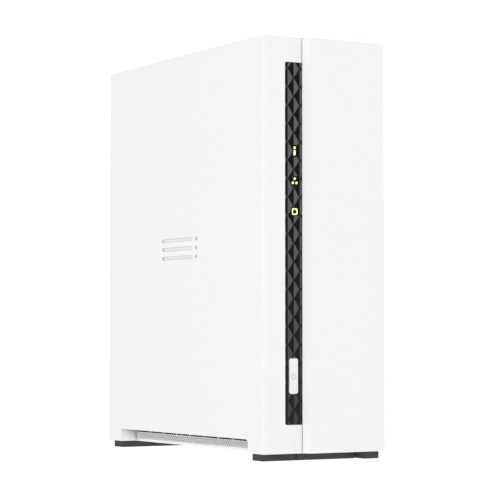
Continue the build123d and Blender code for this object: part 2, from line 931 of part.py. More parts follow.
def trim_strip():
    """Strip in the cover's notch, cut off flush at the seam."""
    left = x_strip + strip_clearance
    face = rounded_bar(
        ((left + x_panel_edge + strip_run_on) / 2, y_strip, (strip_low + strip_high) / 2),
        REARWARD,
        x_panel_edge + strip_run_on - left,
        strip_high - strip_low - 2 * strip_clearance,
        strip_corner_radius - strip_clearance,
        y_tongue - y_strip,
    )
    beyond_seam = block(
        (x_panel_edge, x_panel_edge + 2 * strip_run_on), (y_front, y_tongue + 1), (0, body_top)
    )
    return face - beyond_seam - light_windows(light_clearance) - button_way()


def front_board():
    half = front_board_width / 2
    board = block(
        (x_strip_middle - half, x_strip_middle + half),
        (y_front_board, y_front_board + board_thickness),
        (front_board_low, front_board_high),
    )
    holes = [
        rod((x_strip_middle, y_front_board - 1, z), REARWARD,
            small_screw_radius + board_hole_clearance, board_thickness + 2)
        for z in front_board_screw_zs
    ]
    return board - holes


def front_leds():
    """One light behind each sign, and three behind the network sign."""
    spots = [(light_x, status_light_z), (light_x, drive_light_z)]
    spots += [(light_x + side * led_spread, network_light_z) for side in (-1, 0, 1)]
    half = led_width / 2
    tall = led_length / 2
    depth = (y_front_board - led_height, y_front_board)
    return group(block((x - half, x + half), depth, (z - tall, z + tall)) for x, z in spots)


def front_board_screws():
    return group(
        small_screw((x_strip_middle, y_front_board + board_thickness, z), FORWARD, front_screw_length)
        for z in front_board_screw_zs
    )


def front_ribbon():
    """Flat lead from the front board to the mainboard, held at both ends."""
    start_y = y_front_board + board_thickness + header_depth - header_slit_depth
    end_y = board_front + main_header_inset + header_slit_depth - ribbon_slack
    route = FilletPolyline(
        (ribbon_plug_x, start_y), (ribbon_plug_x, ribbon_turn_y),
        (ribbon_socket_x, ribbon_turn_y), (ribbon_socket_x, end_y), radius=ribbon_turn_radius,
    )
    flat = trace(route, ribbon_thickness)
    return extrude(Pos(0, 0, ribbon_z - ribbon_width / 2) * flat, ribbon_width)


def board_headers():
    """Sockets of the ribbon's two ends and of the fan's lead."""
    ends = (ribbon_z - ribbon_width / 2 - header_wall, ribbon_z + ribbon_width / 2 + header_wall)
    slit = ribbon_thickness / 2 + ribbon_slack
    slit_z = (ribbon_z - ribbon_width / 2 - ribbon_slack, ribbon_z + ribbon_width / 2 + ribbon_slack)
    back = y_front_board + board_thickness
    half = header_width / 2
    front_socket = block((ribbon_plug_x - half, ribbon_plug_x + half), (back, back + header_depth), ends)
    front_slit = block(
        (ribbon_plug_x - slit, ribbon_plug_x + slit),
        (back + header_depth - header_slit_depth, back + header_depth + 1),
        slit_z,
    )
    front = board_front + main_header_inset
    main_socket = block(
        (x_board - main_header_height, x_board), (front, front + main_header_depth), ends
    )
    main_slit = block(
        (ribbon_socket_x - slit, ribbon_socket_x + slit), (front - 1, front + header_slit_depth), slit_z
    )
    fan_socket = block(
        (x_board - fan_header_height, x_board),
        (fan_lead_y - fan_header_width / 2, fan_lead_y + fan_header_width / 2),
        (fan_lead_low - fan_header_length / 2, fan_lead_low + fan_header_length / 2),
    )
    return group([front_socket - front_slit, main_socket - main_slit, fan_socket])


# ---------------------------------------------------------------- fan
def fan_frame():
    """Square frame with a bore, four struts and the cup that carries the bearing sleeve."""
    blank = rounded_bar((0, fan_front, fan_z), REARWARD, fan_size, fan_size, fan_corner_radius,
                        fan_thickness)
    blank = blank - rod((0, fan_front - 1, fan_z), REARWARD, fan_bore_radius, fan_thickness + 2)
    cup = rod((0, fan_front, fan_z), REARWARD, fan_cup_radius, fan_cup_thickness)
    struts = []
    for turn in range(4):
        middle = (fan_sleeve_radius + fan_bore_radius) / 2 + 1
        arm = Pos(middle, 0, 0) * Box(
            fan_bore_radius - fan_sleeve_radius, fan_cup_thickness, fan_strut_width
        )
        place = Pos(0, fan_front + fan_cup_thickness / 2, fan_z)
        struts.append(place * Rot(0, 90 * turn + fan_strut_turn, 0) * arm)
    sleeve = rod((0, fan_front, fan_z), REARWARD, fan_sleeve_radius, fan_sleeve_length)
    frame = blank.fuse(cup, sleeve, *struts)
    frame = frame - rod((0, fan_front + 1, fan_z), REARWARD, fan_shaft_radius + fan_running_clearance,
                        fan_sleeve_length)
    return frame - fan_holes(screw_radius + thread_clearance, fan_front - 1, fan_thickness + 2)


def fan_holes(radius, start, length):
    half = fan_hole_spacing / 2
    return [
        rod((x, start, fan_z + z), REARWARD, radius, length) for x in (-half, half) for z in (-half, half)
    ]


def fan_rotor():
    """Hub cup with its shaft and seven pitched blades."""
    start = fan_front + fan_cup_thickness + fan_end_clearance
    end = y_panel_inner - fan_end_clearance
    hub = rod((0, start, fan_z), REARWARD, fan_hub_radius, end - start)
    hub = hub - rod((0, start - 1, fan_z), REARWARD, fan_hub_radius - fan_hub_wall,
                    end - start + 1 - fan_hub_wall)
    shaft_start = fan_front + 1 + fan_end_clearance
    shaft = rod((0, shaft_start, fan_z), REARWARD, fan_shaft_radius, end - fan_end_clearance - shaft_start)
    limit = rod((0, start, fan_z), REARWARD, fan_blade_radius, end - start) - rod(
        (0, start - 1, fan_z), REARWARD, fan_hub_radius - fan_hub_wall / 2, end - start + 2
    )
    length = fan_blade_radius + 1
    blades = []
    for number in range(fan_blade_count):
        blade = Rot(fan_blade_angle, 0, 0) * Box(
            length, (end - start) * 1.5, fan_blade_thickness
        )
        blade = Pos(length / 2, 0, 0) * blade
        turned = Pos(0, (start + end) / 2, fan_z) * Rot(0, number * 360 / fan_blade_count, 0) * blade
        blades.append(turned & limit)
    return joined([hub, shaft] + blades)


def fan_lead():
    """Sleeved wires from the fan frame to its header."""
    route = FilletPolyline(
        (fan_lead_x, fan_front, fan_z - fan_size / 2 + fan_lead_inset),
        (fan_lead_x, fan_lead_y, fan_z - fan_size / 2 + fan_lead_inset),
        (fan_lead_x, fan_lead_y, fan_lead_low),
        (x_board - fan_header_height, fan_lead_y, fan_lead_low),
        radius=fan_lead_bend,
    )
    section = Plane(origin=route @ 0, z_dir=route % 0) * Circle(fan_lead_radius)
    return sweep(section, path=route)


def fan_screws():
    half = fan_hole_spacing / 2
    return group(
        case_screw((x, y_panel, fan_z + z), FORWARD, rear_screw_length)
        for x in (-half, half)
        for z in (-half, half)
    )


# ---------------------------------------------------------------- rear panel
def rear_panel():
    """Plate inside the rear rim, with the fan's honeycomb, the sockets' openings and a vent."""
    panel = block(
        (x_inner_left + panel_clearance, x_inner_right - panel_clearance),
        (y_panel_inner, y_panel),
        (z_inner_low + panel_clearance, z_inner_high - panel_clearance),
    )
    cut_from = y_panel_inner - 1
    depth = panel_thickness + 2
    cuts = fan_holes(screw_radius + screw_clearance, cut_from, depth)
    rows = 2 * int(honeycomb_reach / (2 * honeycomb_flat)) + 3
    for spot in HexLocations(honeycomb_flat, rows, rows):
        x = spot.position.X
        z = spot.position.Y
        if hypot(x, z) < honeycomb_reach:
            cell = Plane(origin=(x, cut_from, fan_z + z), x_dir=(1, 0, 0), z_dir=REARWARD)
            cuts.append(extrude(cell * RegularPolygon(honeycomb_radius, 6, rotation=30), depth))
    grow = socket_clearance

    def opening(x, z, width, height):
        return block((x - width / 2 - grow, x + width / 2 + grow), (cut_from, cut_from + depth),
                     (z - height / 2 - grow, z + height / 2 + grow))

    cuts.append(opening(x_board - jack_height / 2, jack_z, jack_height, jack_width))
    for z in usb_zs:
        cuts.append(opening(x_board - usb_height / 2, z, usb_height, usb_width))
    cuts.append(opening(x_board - inlet_height / 2, inlet_z, inlet_height, inlet_width))
    cuts.append(rod((reset_x, cut_from, reset_z), REARWARD, reset_hole_radius, depth))
    cuts.append(opening(lock_slot_x, lock_slot_z, lock_slot_width - 2 * grow,
                        lock_slot_height - 2 * grow))
    for row in range(side_vent_count):
        middle = (side_vent_x, cut_from, side_vent_low + row * side_vent_pitch)
        cuts.append(rounded_bar(middle, REARWARD, side_vent_width, side_vent_height,
                                side_vent_height / 2.01, depth))
    for x, z in rear_screw_spots:
        cuts.append(rod((x, cut_from, z), REARWARD, screw_radius + screw_clearance, depth))
    for z in (cover_screw_low, cover_screw_high):
        cuts.append(rod((cover_screw_x, cut_from, z), REARWARD, screw_radius + thread_clearance, depth))
    return panel - cuts


def rear_panel_screws():
    return group(case_screw((x, y_panel, z), FORWARD, rear_screw_length) for x, z in rear_screw_spots)


def cover_screws():
    """Two screws left loose by a hair, in the open slots of the cover's flange."""
    return group(
        case_screw((cover_screw_x, y_flange + cover_screw_slack, z), FORWARD, cover_screw_length)
        for z in (cover_screw_low, cover_screw_high)
    )


# ---------------------------------------------------------------- feet
def foot(x, y):
    """Flat foot from the floor to the underside."""
    pad = block(x, y, (0, z_bottom))
    pad = fillet(pad.edges().filter_by(Axis.Z), foot_radius)
    return chamfer(pad.faces().sort_by(Axis.Z)[0].edges(), foot_chamfer)


def foot_pads():
    """Two short feet near the right side."""
    ends_x = (x_right - foot_pad_inset_side - foot_pad_width, x_right - foot_pad_inset_side)
    front = y_front + foot_pad_inset_front
    rear = y_back - foot_inset_rear
    return group(
        [foot(ends_x, (front, front + foot_pad_depth)), foot(ends_x, (rear - foot_pad_depth, rear))]
    )


# ---------------------------------------------------------------- frame and drive
def frame_plate():
    """Steel plate on four posts; waisted where the drive's screw heads pass."""
    plate = block(
        (x_frame, x_frame_back),
        (post_ys[0] - frame_margin_front, post_ys[1] + frame_margin_rear),
        (z_inner_low + frame_rise, z_inner_high - frame_drop),
    )
    for y, z in zip(stud_side_ys, stud_side_zs):
        plate = plate + lug_block((x_frame, x_frame_back), y, z, 0, (y, y, z))
    through = (x_frame - 1, x_frame_back + 1)
    window_y = (drive_centre_y - frame_window_half, drive_centre_y + frame_window_half)
    plug_y = (drive_plug_y - frame_plug_margin, drive_plug_y + frame_plug_margin)
    waist_z = (drive_low + frame_waist_rise, drive_low + frame_waist_rise + frame_waist_height)
    fan_reach = fan_size / 2 + frame_fan_margin
    cuts = [
        block(through, window_y, (drive_low + frame_window_rise, drive_high - frame_window_drop)),
        block(through, plug_y, (0, drive_low + frame_plug_rise)),
        block(through, (post_ys[0] - frame_margin_front - 1, drive_front + frame_waist), waist_z),
        block(through, (drive_back - frame_waist, post_ys[1] + frame_margin_rear + 1), waist_z),
        block(through, (fan_front - frame_fan_gap, y_back), (fan_z - fan_reach, fan_z + fan_reach)),
    ]
    for y in post_ys:
        for z in post_zs:
            cuts.append(rod((x_frame - 1, y, z), RIGHT, screw_radius + screw_clearance, 4))
    for y, z in stud_spots():
        cuts.append(rod((x_frame - 1, y, z), RIGHT, screw_radius + thread_clearance, 4))
    return plate - cuts


def frame_screws():
    return group(
        case_screw((x_frame, y, z), RIGHT, frame_screw_length) for y in post_ys for z in post_zs
    )


def stud_spots():
    return [(y, stud_low_z) for y in stud_low_ys] + list(zip(stud_side_ys, stud_side_zs))


def lug_block(x, y, z, drop, root):
    """Lug round a stud's place: it reaches down by drop and joins the plate at root."""
    reach = stud_head_radius + stud_clearance + lug_margin
    ends_y = (min(y - reach, root[0]), max(y + reach, root[1]))
    return block(x, ends_y, (z - drop - reach, max(z + reach, root[2])))


def carrier_studs():
    """Shoulder studs: thread in the frame plate, shoulder in the keyhole, head in front."""
    studs = []
    for y, z in stud_spots():
        thread = rod((x_frame_back + stud_thread_end, y, z), LEFT, screw_radius,
                     frame_thickness + stud_thread_end + stud_play / 2)
        shoulder = rod((x_frame, y, z), LEFT, stud_radius, x_frame - x_carrier + stud_play)
        head = rod((x_carrier - stud_play, y, z), LEFT, stud_head_radius, stud_head_height)
        head_face = x_carrier - stud_play - stud_head_height
        slot = block(
            (head_face - 1, head_face + stud_slot_depth),
            (y - stud_slot_width / 2, y + stud_slot_width / 2),
            (z - stud_head_radius, z + stud_head_radius),
        )
        studs.append(joined([thread, shoulder, head]) - slot)
    return group(studs)


def keyhole(y, z):
    """Slot that lets the carrier rise and then come off its stud."""
    cut_from = x_carrier - 1
    depth = carrier_thickness + 2
    radius = stud_radius + stud_clearance
    hole = rod((cut_from, y, z), RIGHT, radius, depth)
    slot = block((cut_from, cut_from + depth), (y - radius, y + radius), (z - carrier_lift, z))
    mouth = rod((cut_from, y, z - carrier_lift), RIGHT, stud_head_radius + stud_clearance, depth)
    return joined([hole, slot, mouth])


def drive_hole_spots():
    half = drive_hole_spacing / 2
    zs = (drive_low + drive_hole_first, drive_low + drive_hole_first + drive_hole_pitch)
    return [(drive_centre_y + side * half, z) for side in (-1, 1) for z in zs]


def drive_carrier():
    """Keyholed plate the size of the drive, with lugs past both of its ends."""
    plate = block((x_carrier, x_carrier_back), (drive_front - carrier_margin, drive_back + carrier_margin),
                  (drive_low + carrier_inset, drive_high - carrier_inset))
    roots = [(y, y, drive_low + carrier_inset + 1) for y in stud_low_ys]
    roots += [(y, y, z) for y, z in zip(stud_side_ys, stud_side_zs)]
    lugs = [
        lug_block((x_carrier, x_carrier_back), y, z, carrier_lift, root)
        for (y, z), root in zip(stud_spots(), roots)
    ]
    carrier = plate.fuse(*lugs)
    cuts = [keyhole(y, z) for y, z in stud_spots()]
    for column in (-1, 0, 1):
        for row in range(carrier_hole_rows):
            y = drive_centre_y + column * carrier_hole_pitch_y
            z = drive_low + carrier_hole_rise + row * carrier_hole_pitch_z
            cuts.append(rod((x_carrier - 1, y, z), RIGHT, carrier_hole_radius, carrier_thickness + 2))
    for y, z in drive_hole_spots():
        cuts.append(rod((x_carrier - 1, y, z), RIGHT, screw_radius + screw_clearance, 4))
    return carrier - cuts


def drive_screws():
    return group(case_screw((x_carrier_back, y, z), LEFT, drive_screw_length) for y, z in drive_hole_spots())


def drive_base():
    """Cast base: disc pocket under the lid, board pocket and plug recess on the other face."""
    blank = rounded_bar(
        (x_lid, drive_centre_y, (drive_low + drive_high) / 2), RIGHT, drive_width, drive_length,
        drive_corner_radius, drive_face_x - x_lid,
    )
    pocket_half = drive_board_width / 2 + board_pocket_clearance
    plug_half = drive_plug_width / 2 + drive_plug_margin
    cuts = [
        rod((x_lid - 1, drive_centre_y, disc_middle_z), RIGHT, disc_pocket_radius, disc_pocket_depth),
        block((x_lid - 1, x_lid + arm_pocket_depth),
              (drive_centre_y - arm_pocket_half, drive_centre_y + arm_pocket_half),
              (drive_low + arm_pocket_low, drive_low + arm_pocket_high)),
        block((drive_face_x - board_pocket_depth, drive_face_x + 1),
              (drive_centre_y - pocket_half, drive_centre_y + pocket_half),
              (drive_low - 1, drive_low + drive_board_length + board_pocket_clearance)),
        block((drive_face_x - drive_plug_recess, drive_face_x + 1),
              (drive_plug_y - plug_half, drive_plug_y + plug_half),
              (drive_low - 1, drive_low + drive_plug_depth)),
    ]
    for y, z in drive_hole_spots():
        cuts.append(rod((drive_face_x + 1, y, z), LEFT, screw_radius + thread_clearance,
                        drive_screw_length + pilot_end))
    for y, z in drive_lid_spots():
        cuts.append(rod((x_lid - 1, y, z), RIGHT, small_screw_radius + thread_clearance,
                        lid_screw_length + pilot_end))
    return blank - cuts


def drive_lid_spots():
    """Screws round the lid, between the pockets and the edge."""
    side = drive_width / 2 - lid_screw_side
    heights = (drive_low + lid_screw_low, drive_low + lid_screw_middle, drive_high - lid_screw_high)
    ends = [(sign * side, z) for sign in (-1, 1) for z in heights]
    return [(drive_centre_y + y, z) for y, z in ends]


def drive_lid():
    """Pressed lid: a flat sheet with a raised disc and foot."""
    sheet = rounded_bar(
        (x_lid - drive_lid_thickness, drive_centre_y, (drive_low + drive_high) / 2), RIGHT,
        drive_width - 2 * lid_inset, drive_length - 2 * lid_inset, drive_corner_radius - lid_inset,
        drive_lid_thickness,
    )
    middle = (x_drive_top, drive_centre_y, disc_middle_z)
    disc_cover = rod(middle, RIGHT, lid_disc_radius, drive_lid_thickness)
    foot_cover = block(
        (x_drive_top, x_drive_top + drive_lid_thickness),
        (drive_centre_y - lid_foot_half, drive_centre_y + lid_foot_half),
        (drive_low + lid_foot_low, drive_low + lid_foot_high),
    )
    dimple = rod(middle, RIGHT, lid_dimple_radius, drive_lid_thickness / 2)
    holes = [rod((x_drive_top - 1, y, z), RIGHT, small_screw_radius + board_hole_clearance, 4)
             for y, z in drive_lid_spots()]
    return sheet + disc_cover + foot_cover - dimple - holes


def drive_lid_screws():
    """Low flat heads, flush with the raised lid."""
    return group(
        screw((x_lid - drive_lid_thickness, y, z), RIGHT, small_screw_radius, lid_screw_length,
              small_screw_head_radius, drive_lid_thickness)
        for y, z in drive_lid_spots()
    )


def drive_board():
    x_face = drive_face_x - drive_board_inset
    half = drive_board_width / 2
    plug_half = drive_plug_width / 2 + drive_plug_margin
    board = block(
        (x_face - drive_board_thickness, x_face), (drive_centre_y - half, drive_centre_y + half),
        (drive_low + 1, drive_low + drive_board_length),
    )
    plug_room = block(
        (x_face - 3, x_face + 1),
        (drive_plug_y - plug_half, drive_plug_y + plug_half),
        (drive_low - 1, drive_low + drive_plug_depth + board_hole_clearance),
    )
    return board - plug_room


def drive_connector():
    """Plug of the drive: a bar in its recess with a thin blade that points down."""
    half = drive_plug_width / 2
    bar_low = drive_low + drive_plug_depth - plug_bar_height
    bar = block(
        (plug_middle_x - plug_bar_half, plug_middle_x + plug_bar_half),
        (drive_plug_y - half, drive_plug_y + half),
        (bar_low, drive_low + drive_plug_depth),
    )
    blade = block(
        (plug_middle_x - plug_blade / 2, plug_middle_x + plug_blade / 2),
        (drive_plug_y - half + plug_blade_inset, drive_plug_y + half - plug_blade_inset),
        (drive_low + plug_blade_rise, bar_low + plug_blade_rise),
    )
    return bar + blade


# ---------------------------------------------------------------- riser and drive socket
def riser_board():
    half = drive_plug_width / 2 + riser_margin
    return block(
        (plug_middle_x - riser_front, x_board - riser_inset), (drive_plug_y - half, drive_plug_y + half),
        (riser_low, riser_low + board_thickness),
    )


def riser_socket():
    """Edge socket on the mainboard that grips the riser."""
    half = drive_plug_width / 2 + 2 * riser_margin
    slit_half = half - riser_margin + riser_slack
    mouth = x_board - riser_inset - riser_grip
    body = block((mouth, x_board), (drive_plug_y - half, drive_plug_y + half),
                 (riser_low - riser_socket_wall, riser_low + board_thickness + riser_socket_wall))
    slit = block(
        (mouth - 1, x_board - riser_inset),
        (drive_plug_y - slit_half, drive_plug_y + slit_half),
        (riser_low - riser_slack, riser_low + board_thickness + riser_slack),
    )
    return body - slit


def drive_socket():
    """Upright socket on the riser; its nose enters the drive's recess."""
    half = drive_plug_width / 2 - socket_side
    ends = (drive_plug_y - half, drive_plug_y + half)
    riser_top = riser_low + board_thickness
    foot_block = block((plug_middle_x - socket_foot_front, plug_middle_x + socket_foot_back), ends,
                       (riser_top, drive_low - socket_foot_gap))
    nose = block((plug_middle_x - socket_nose_half, plug_middle_x + socket_nose_half), ends,
                 (riser_top, drive_low + socket_nose_reach))
    slit_half = plug_blade / 2 + socket_slit_gap
    slit = block(
        (plug_middle_x - slit_half, plug_middle_x + slit_half),
        (ends[0] + socket_slit_inset, ends[1] - socket_slit_inset),
        (drive_low - socket_slit_drop, drive_low + socket_nose_reach + 1),
    )
    return foot_block + nose - slit


# ---------------------------------------------------------------- mainboard
def mainboard():
    board = block((x_board, x_board_back), (board_front, y_board_back), (board_low, board_high))
    through = (x_board - 1, x_board_back + 1)
    hole_radius = small_screw_radius + board_hole_clearance
    cuts = [rod((x_board - 1, y, z), RIGHT, hole_radius, 4) for y, z in board_hole_spots]
    reach = post_radius + board_notch_margin
    cuts.append(block(through, (post_ys[1] - reach, post_ys[1] + reach), (0, post_zs[0] + reach)))
    boss_high = rear_screw_spots[0][1] + rear_boss_width / 2 + board_notch_margin
    boss_front = y_panel_inner - rear_boss_depth - board_notch_margin
    cuts.append(block(through, (boss_front, y_panel_inner), (0, boss_high)))
    for y, z in sink_pin_spots():
        cuts.append(rod((x_board - 1, y, z), RIGHT, sink_pin_hole, 4))
    return board - cuts


def board_screws():
    return group(small_screw((x_board, y, z), RIGHT, board_screw_length) for y, z in board_hole_spots)


def on_board(y, z, width, tall, height):
    """Part on the mainboard: width along Y, tall along Z, height off the board."""
    return block((x_board - height, x_board), (y - width / 2, y + width / 2), (z - tall / 2, z + tall / 2))


def processor():
    return on_board(chip_y, chip_z, chip_side, chip_side, chip_height)


def sink_pin_spots():
    reach = sink_size / 2 - sink_pin_inset
    return [(chip_y - reach, chip_z + reach), (chip_y + reach, chip_z - reach)]


def heat_sink():
    """Finned block on the processor, fins upright, bored for two push pins."""
    face = x_board - chip_height
    half = sink_size / 2
    base = block((face - sink_base, face), (chip_y - half, chip_y + half), (chip_z - half, chip_z + half))
    pitch = (sink_size - sink_fin) / (sink_fin_count - 1)
    fins = []
    for number in range(sink_fin_count):
        y = chip_y - half + number * pitch
        fins.append(block((face - sink_height, face - sink_base + 0.1), (y, y + sink_fin),
                          (chip_z - half, chip_z + half)))
    sink = base.fuse(*fins)
    for y, z in sink_pin_spots():
        sink = sink - rod((face + 1, y, z), LEFT, sink_pin_hole, sink_height + 2)
        sink = sink - rod((face - sink_base, y, z), LEFT, sink_pin_well, sink_height)
    return sink


def heat_sink_pins():
    """Two push pins through the sink and the board."""
    pins = []
    for y, z in sink_pin_spots():
        head_face = x_board - chip_height - sink_base
        length = chip_height + sink_base + board_thickness + sink_pin_end
        stem = rod((head_face, y, z), RIGHT, sink_pin_radius, length)
        head = rod((head_face, y, z), LEFT, sink_pin_head_radius, sink_pin_head_height)
        pins.append(stem + head)
    return group(pins)


def capacitors():
    """Can capacitors with their sleeves' shoulder."""
    cans = []
    for y, z in capacitor_spots:
        can = rod((x_board, y, z), LEFT, capacitor_radius, capacitor_height)
        cans.append(fillet(can.faces().sort_by(Axis.X)[0].edges(), capacitor_edge))
    return group(cans)


def inductors():
    coils = []
    for y, z in inductor_spots:
        coil = on_board(y, z, inductor_side, inductor_side, inductor_height)
        coils.append(chamfer(coil.edges().filter_by(Axis.X), inductor_chamfer))
    return group(coils)


def coin_cell():
    return rod((x_board - cell_rise, cell_y, cell_z), LEFT, cell_radius, cell_thickness)


def coin_cell_holder():
    """Ring that the cell snaps into."""
    ring = rod((x_board, cell_y, cell_z), LEFT, cell_radius + cell_ring_wall, cell_ring_height)
    floor = x_board - cell_rise
    ring = ring - rod((floor, cell_y, cell_z), LEFT, cell_radius + cell_clearance, cell_ring_height)
    finger_gap = block(
        (floor - cell_ring_height, floor),
        (cell_y - cell_finger_half, cell_y + cell_finger_half),
        (cell_z + cell_finger_half, cell_z + 2 * cell_radius),
    )
    return ring - finger_gap


def memory_chips():
    return group(on_board(memory_y, z, *memory_size) for z in memory_zs)


def flash_chip():
    return on_board(*flash_spot, *flash_size)


def interface_chips():
    """Network, bridge and power chips."""
    return group(
        on_board(y, z, side, side, interface_chip_height) for y, z, side in interface_chip_spots
    )


# ---------------------------------------------------------------- sockets
def ethernet_jack():
    """Shielded jack with a stepped mouth and a clip notch."""
    body = block((x_board - jack_height, x_board), (y_socket_face - jack_length, y_socket_face),
                 (jack_z - jack_width / 2, jack_z + jack_width / 2))
    mouth_x = x_board - jack_height / 2 + jack_mouth_offset
    mouth = block(
        (mouth_x - jack_mouth_height / 2, mouth_x + jack_mouth_height / 2),
        (y_socket_face - jack_mouth_depth, y_socket_face + 1),
        (jack_z - jack_mouth_width / 2, jack_z + jack_mouth_width / 2),
    )
    clip = block(
        (mouth_x - jack_mouth_height / 2 - jack_clip_reach, mouth_x),
        (y_socket_face - jack_clip_depth, y_socket_face + 1),
        (jack_z - jack_clip_width / 2, jack_z + jack_clip_width / 2),
    )
    return body - mouth - clip


def usb_shells():
    shells = []
    for z in usb_zs:
        outer = block((x_board - usb_height, x_board), (y_socket_face - usb_length, y_socket_face),
                      (z - usb_width / 2, z + usb_width / 2))
        inner = block(
            (x_board - usb_height + usb_sheet, x_board - usb_sheet),
            (y_socket_face - usb_length + usb_sheet, y_socket_face + 1),
            (z - usb_width / 2 + usb_sheet, z + usb_width / 2 - usb_sheet),
        )
        shells.append(outer - inner)
    return group(shells)


def usb_tongues():
    tongues = []
    for z in usb_zs:
        back = y_socket_face - usb_length + usb_sheet
        heel = block((x_board - usb_height + usb_sheet, x_board - usb_sheet), (back, back + usb_heel),
                     (z - usb_width / 2 + usb_sheet, z + usb_width / 2 - usb_sheet))
        near = x_board - usb_height + usb_tongue_gap
        blade = block((near, near + usb_tongue_thickness), (back, y_socket_face - usb_tongue_recess),
                      (z - usb_tongue_half, z + usb_tongue_half))
        tongues.append(heel + blade)
    return group(tongues)


def power_inlet():
    """Round mains-adapter inlet with its centre pin."""
    body = block((x_board - inlet_height, x_board), (y_socket_face - inlet_length, y_socket_face),
                 (inlet_z - inlet_width / 2, inlet_z + inlet_width / 2))
    middle = (x_board - inlet_height + inlet_width / 2 + inlet_offset, y_socket_face, inlet_z)
    bore = rod(middle, FORWARD, inlet_bore_radius, inlet_bore_depth)
    pin_tip = (middle[0], y_socket_face - inlet_pin_recess, inlet_z)
    pin = rod(pin_tip, FORWARD, inlet_pin_radius, inlet_bore_depth)
    return body - bore + pin


def reset_button():
    """Pin that a paper clip pushes, with a collar inside the panel."""
    pin = rod((reset_x, reset_tip, reset_z), FORWARD, reset_radius, reset_length)
    collar = rod((reset_x, y_panel_inner - reset_collar_gap, reset_z), FORWARD,
                 reset_collar_radius, reset_collar_thickness)
    return pin + collar


def reset_switch():
    face = reset_tip - reset_length + reset_bore_depth
    half = reset_switch_height / 2
    body = block((x_board - reset_switch_width, x_board), (face - reset_switch_depth, face),
                 (reset_z - half, reset_z + half))
    bore_depth = reset_bore_depth + reset_travel + 2 * reset_bore_clearance
    return body - rod((reset_x, face, reset_z), FORWARD, reset_radius + reset_bore_clearance, bore_depth)


# ---------------------------------------------------------------- all the pieces
pieces = {
    "left_cover": left_cover,
    "main_shell": main_shell,
    "left_vent_grille": lambda: vent_grille(-1),
    "right_vent_grille": lambda: vent_grille(1),
    "rear_panel": rear_panel,
    "rear_panel_screws": rear_panel_screws,
    "cover_screws": cover_screws,
    "trim_strip": trim_strip,
    "status_light_guide": lambda: light_guide("status"),
    "network_light_guide": lambda: light_guide("network"),
    "drive_light_guide": lambda: light_guide("drive"),
    "power_button": power_button,
    "switch_plunger": switch_plunger,
    "power_switch": power_switch,
    "front_board": front_board,
    "front_leds": front_leds,
    "front_board_screws": front_board_screws,
    "front_ribbon": front_ribbon,
    "board_headers": board_headers,
    "foot_front_left": lambda: foot(foot_left_x, foot_front_y),
    "foot_rear_left": lambda: foot(foot_left_x, foot_rear_y),
    "foot_front_right": lambda: foot(foot_right_x, foot_front_y),
    "foot_rear_right": lambda: foot(foot_right_x, foot_rear_y),
    "foot_pads": foot_pads,
    "frame_plate": frame_plate,
    "frame_screws": frame_screws,
    "carrier_studs": carrier_studs,
    "drive_carrier": drive_carrier,
    "drive_screws": drive_screws,
    "drive_base": drive_base,
    "drive_lid": drive_lid,
    "drive_lid_screws": drive_lid_screws,
    "drive_board": drive_board,
    "drive_connector": drive_connector,
    "riser_board": riser_board,
    "riser_socket": riser_socket,
    "drive_socket": drive_socket,
    "mainboard": mainboard,
    "board_screws": board_screws,
    "processor": processor,
    "heat_sink": heat_sink,
    "heat_sink_pins": heat_sink_pins,
    "capacitors": capacitors,
    "inductors": inductors,
    "coin_cell": coin_cell,
    "coin_cell_holder": coin_cell_holder,
    "memory_chips": memory_chips,
    "flash_chip": flash_chip,
    "interface_chips": interface_chips,
    "ethernet_jack": ethernet_jack,
    "usb_shells": usb_shells,
    "usb_tongues": usb_tongues,
    "power_inlet": power_inlet,
    "reset_button": reset_button,
    "reset_switch": reset_switch,
    "fan_frame": fan_frame,
    "fan_rotor": fan_rotor,
    "fan_screws": fan_screws,
    "fan_lead": fan_lead,
}

for name, make in pieces.items():
    save(name, make())
print(len(pieces), "pieces written")
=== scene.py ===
# %% [markdown]
# # A one-bay network attached storage unit
#
# The imported design comes in as a fixed frame: every node is a mesh in metres, already
# where it belongs. Blender only adds looks: finishes for the parts that come with the
# frame, and finer meshes where the real thing has relief that the plain solid lacks.
#
# Straight after loading, every part's placement is applied to its own mesh, and everything
# else that came from the file is removed.

# %% Load the frame
import bpy
import bmesh
from math import atan2, cos, pi, radians, sin
from mathutils import Euler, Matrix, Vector


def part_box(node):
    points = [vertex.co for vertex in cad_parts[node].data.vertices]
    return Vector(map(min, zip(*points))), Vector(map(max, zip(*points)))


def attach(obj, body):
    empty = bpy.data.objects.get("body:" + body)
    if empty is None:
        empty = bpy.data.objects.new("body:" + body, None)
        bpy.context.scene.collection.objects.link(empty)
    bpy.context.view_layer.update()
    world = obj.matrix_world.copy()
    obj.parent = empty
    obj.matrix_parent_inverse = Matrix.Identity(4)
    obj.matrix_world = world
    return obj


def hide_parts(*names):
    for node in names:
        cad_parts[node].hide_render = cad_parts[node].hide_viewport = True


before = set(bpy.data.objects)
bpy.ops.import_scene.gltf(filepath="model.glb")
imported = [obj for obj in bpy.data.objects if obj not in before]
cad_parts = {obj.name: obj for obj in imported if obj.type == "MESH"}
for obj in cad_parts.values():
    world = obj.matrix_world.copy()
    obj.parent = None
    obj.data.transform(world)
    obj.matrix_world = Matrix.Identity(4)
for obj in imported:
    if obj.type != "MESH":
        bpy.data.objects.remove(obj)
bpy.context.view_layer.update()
mm = 0.001

# %% [markdown]
# ## A short way to write shader nodes
#
# A finish is a tree of nodes. Adding a node, setting its values and linking its inputs
# takes several lines each time, so small helpers do all three: an input is either a plain
# value or the output socket of another node, which is then linked.

# %% Node helper
def fill(tree, made, inputs):
    """Sets a node's inputs, by name or index, to plain values or links them to outputs."""
    for name, value in inputs.items():
        if isinstance(value, bpy.types.NodeSocket):
            tree.links.new(value, made.inputs[name])
        else:
            made.inputs[name].default_value = value


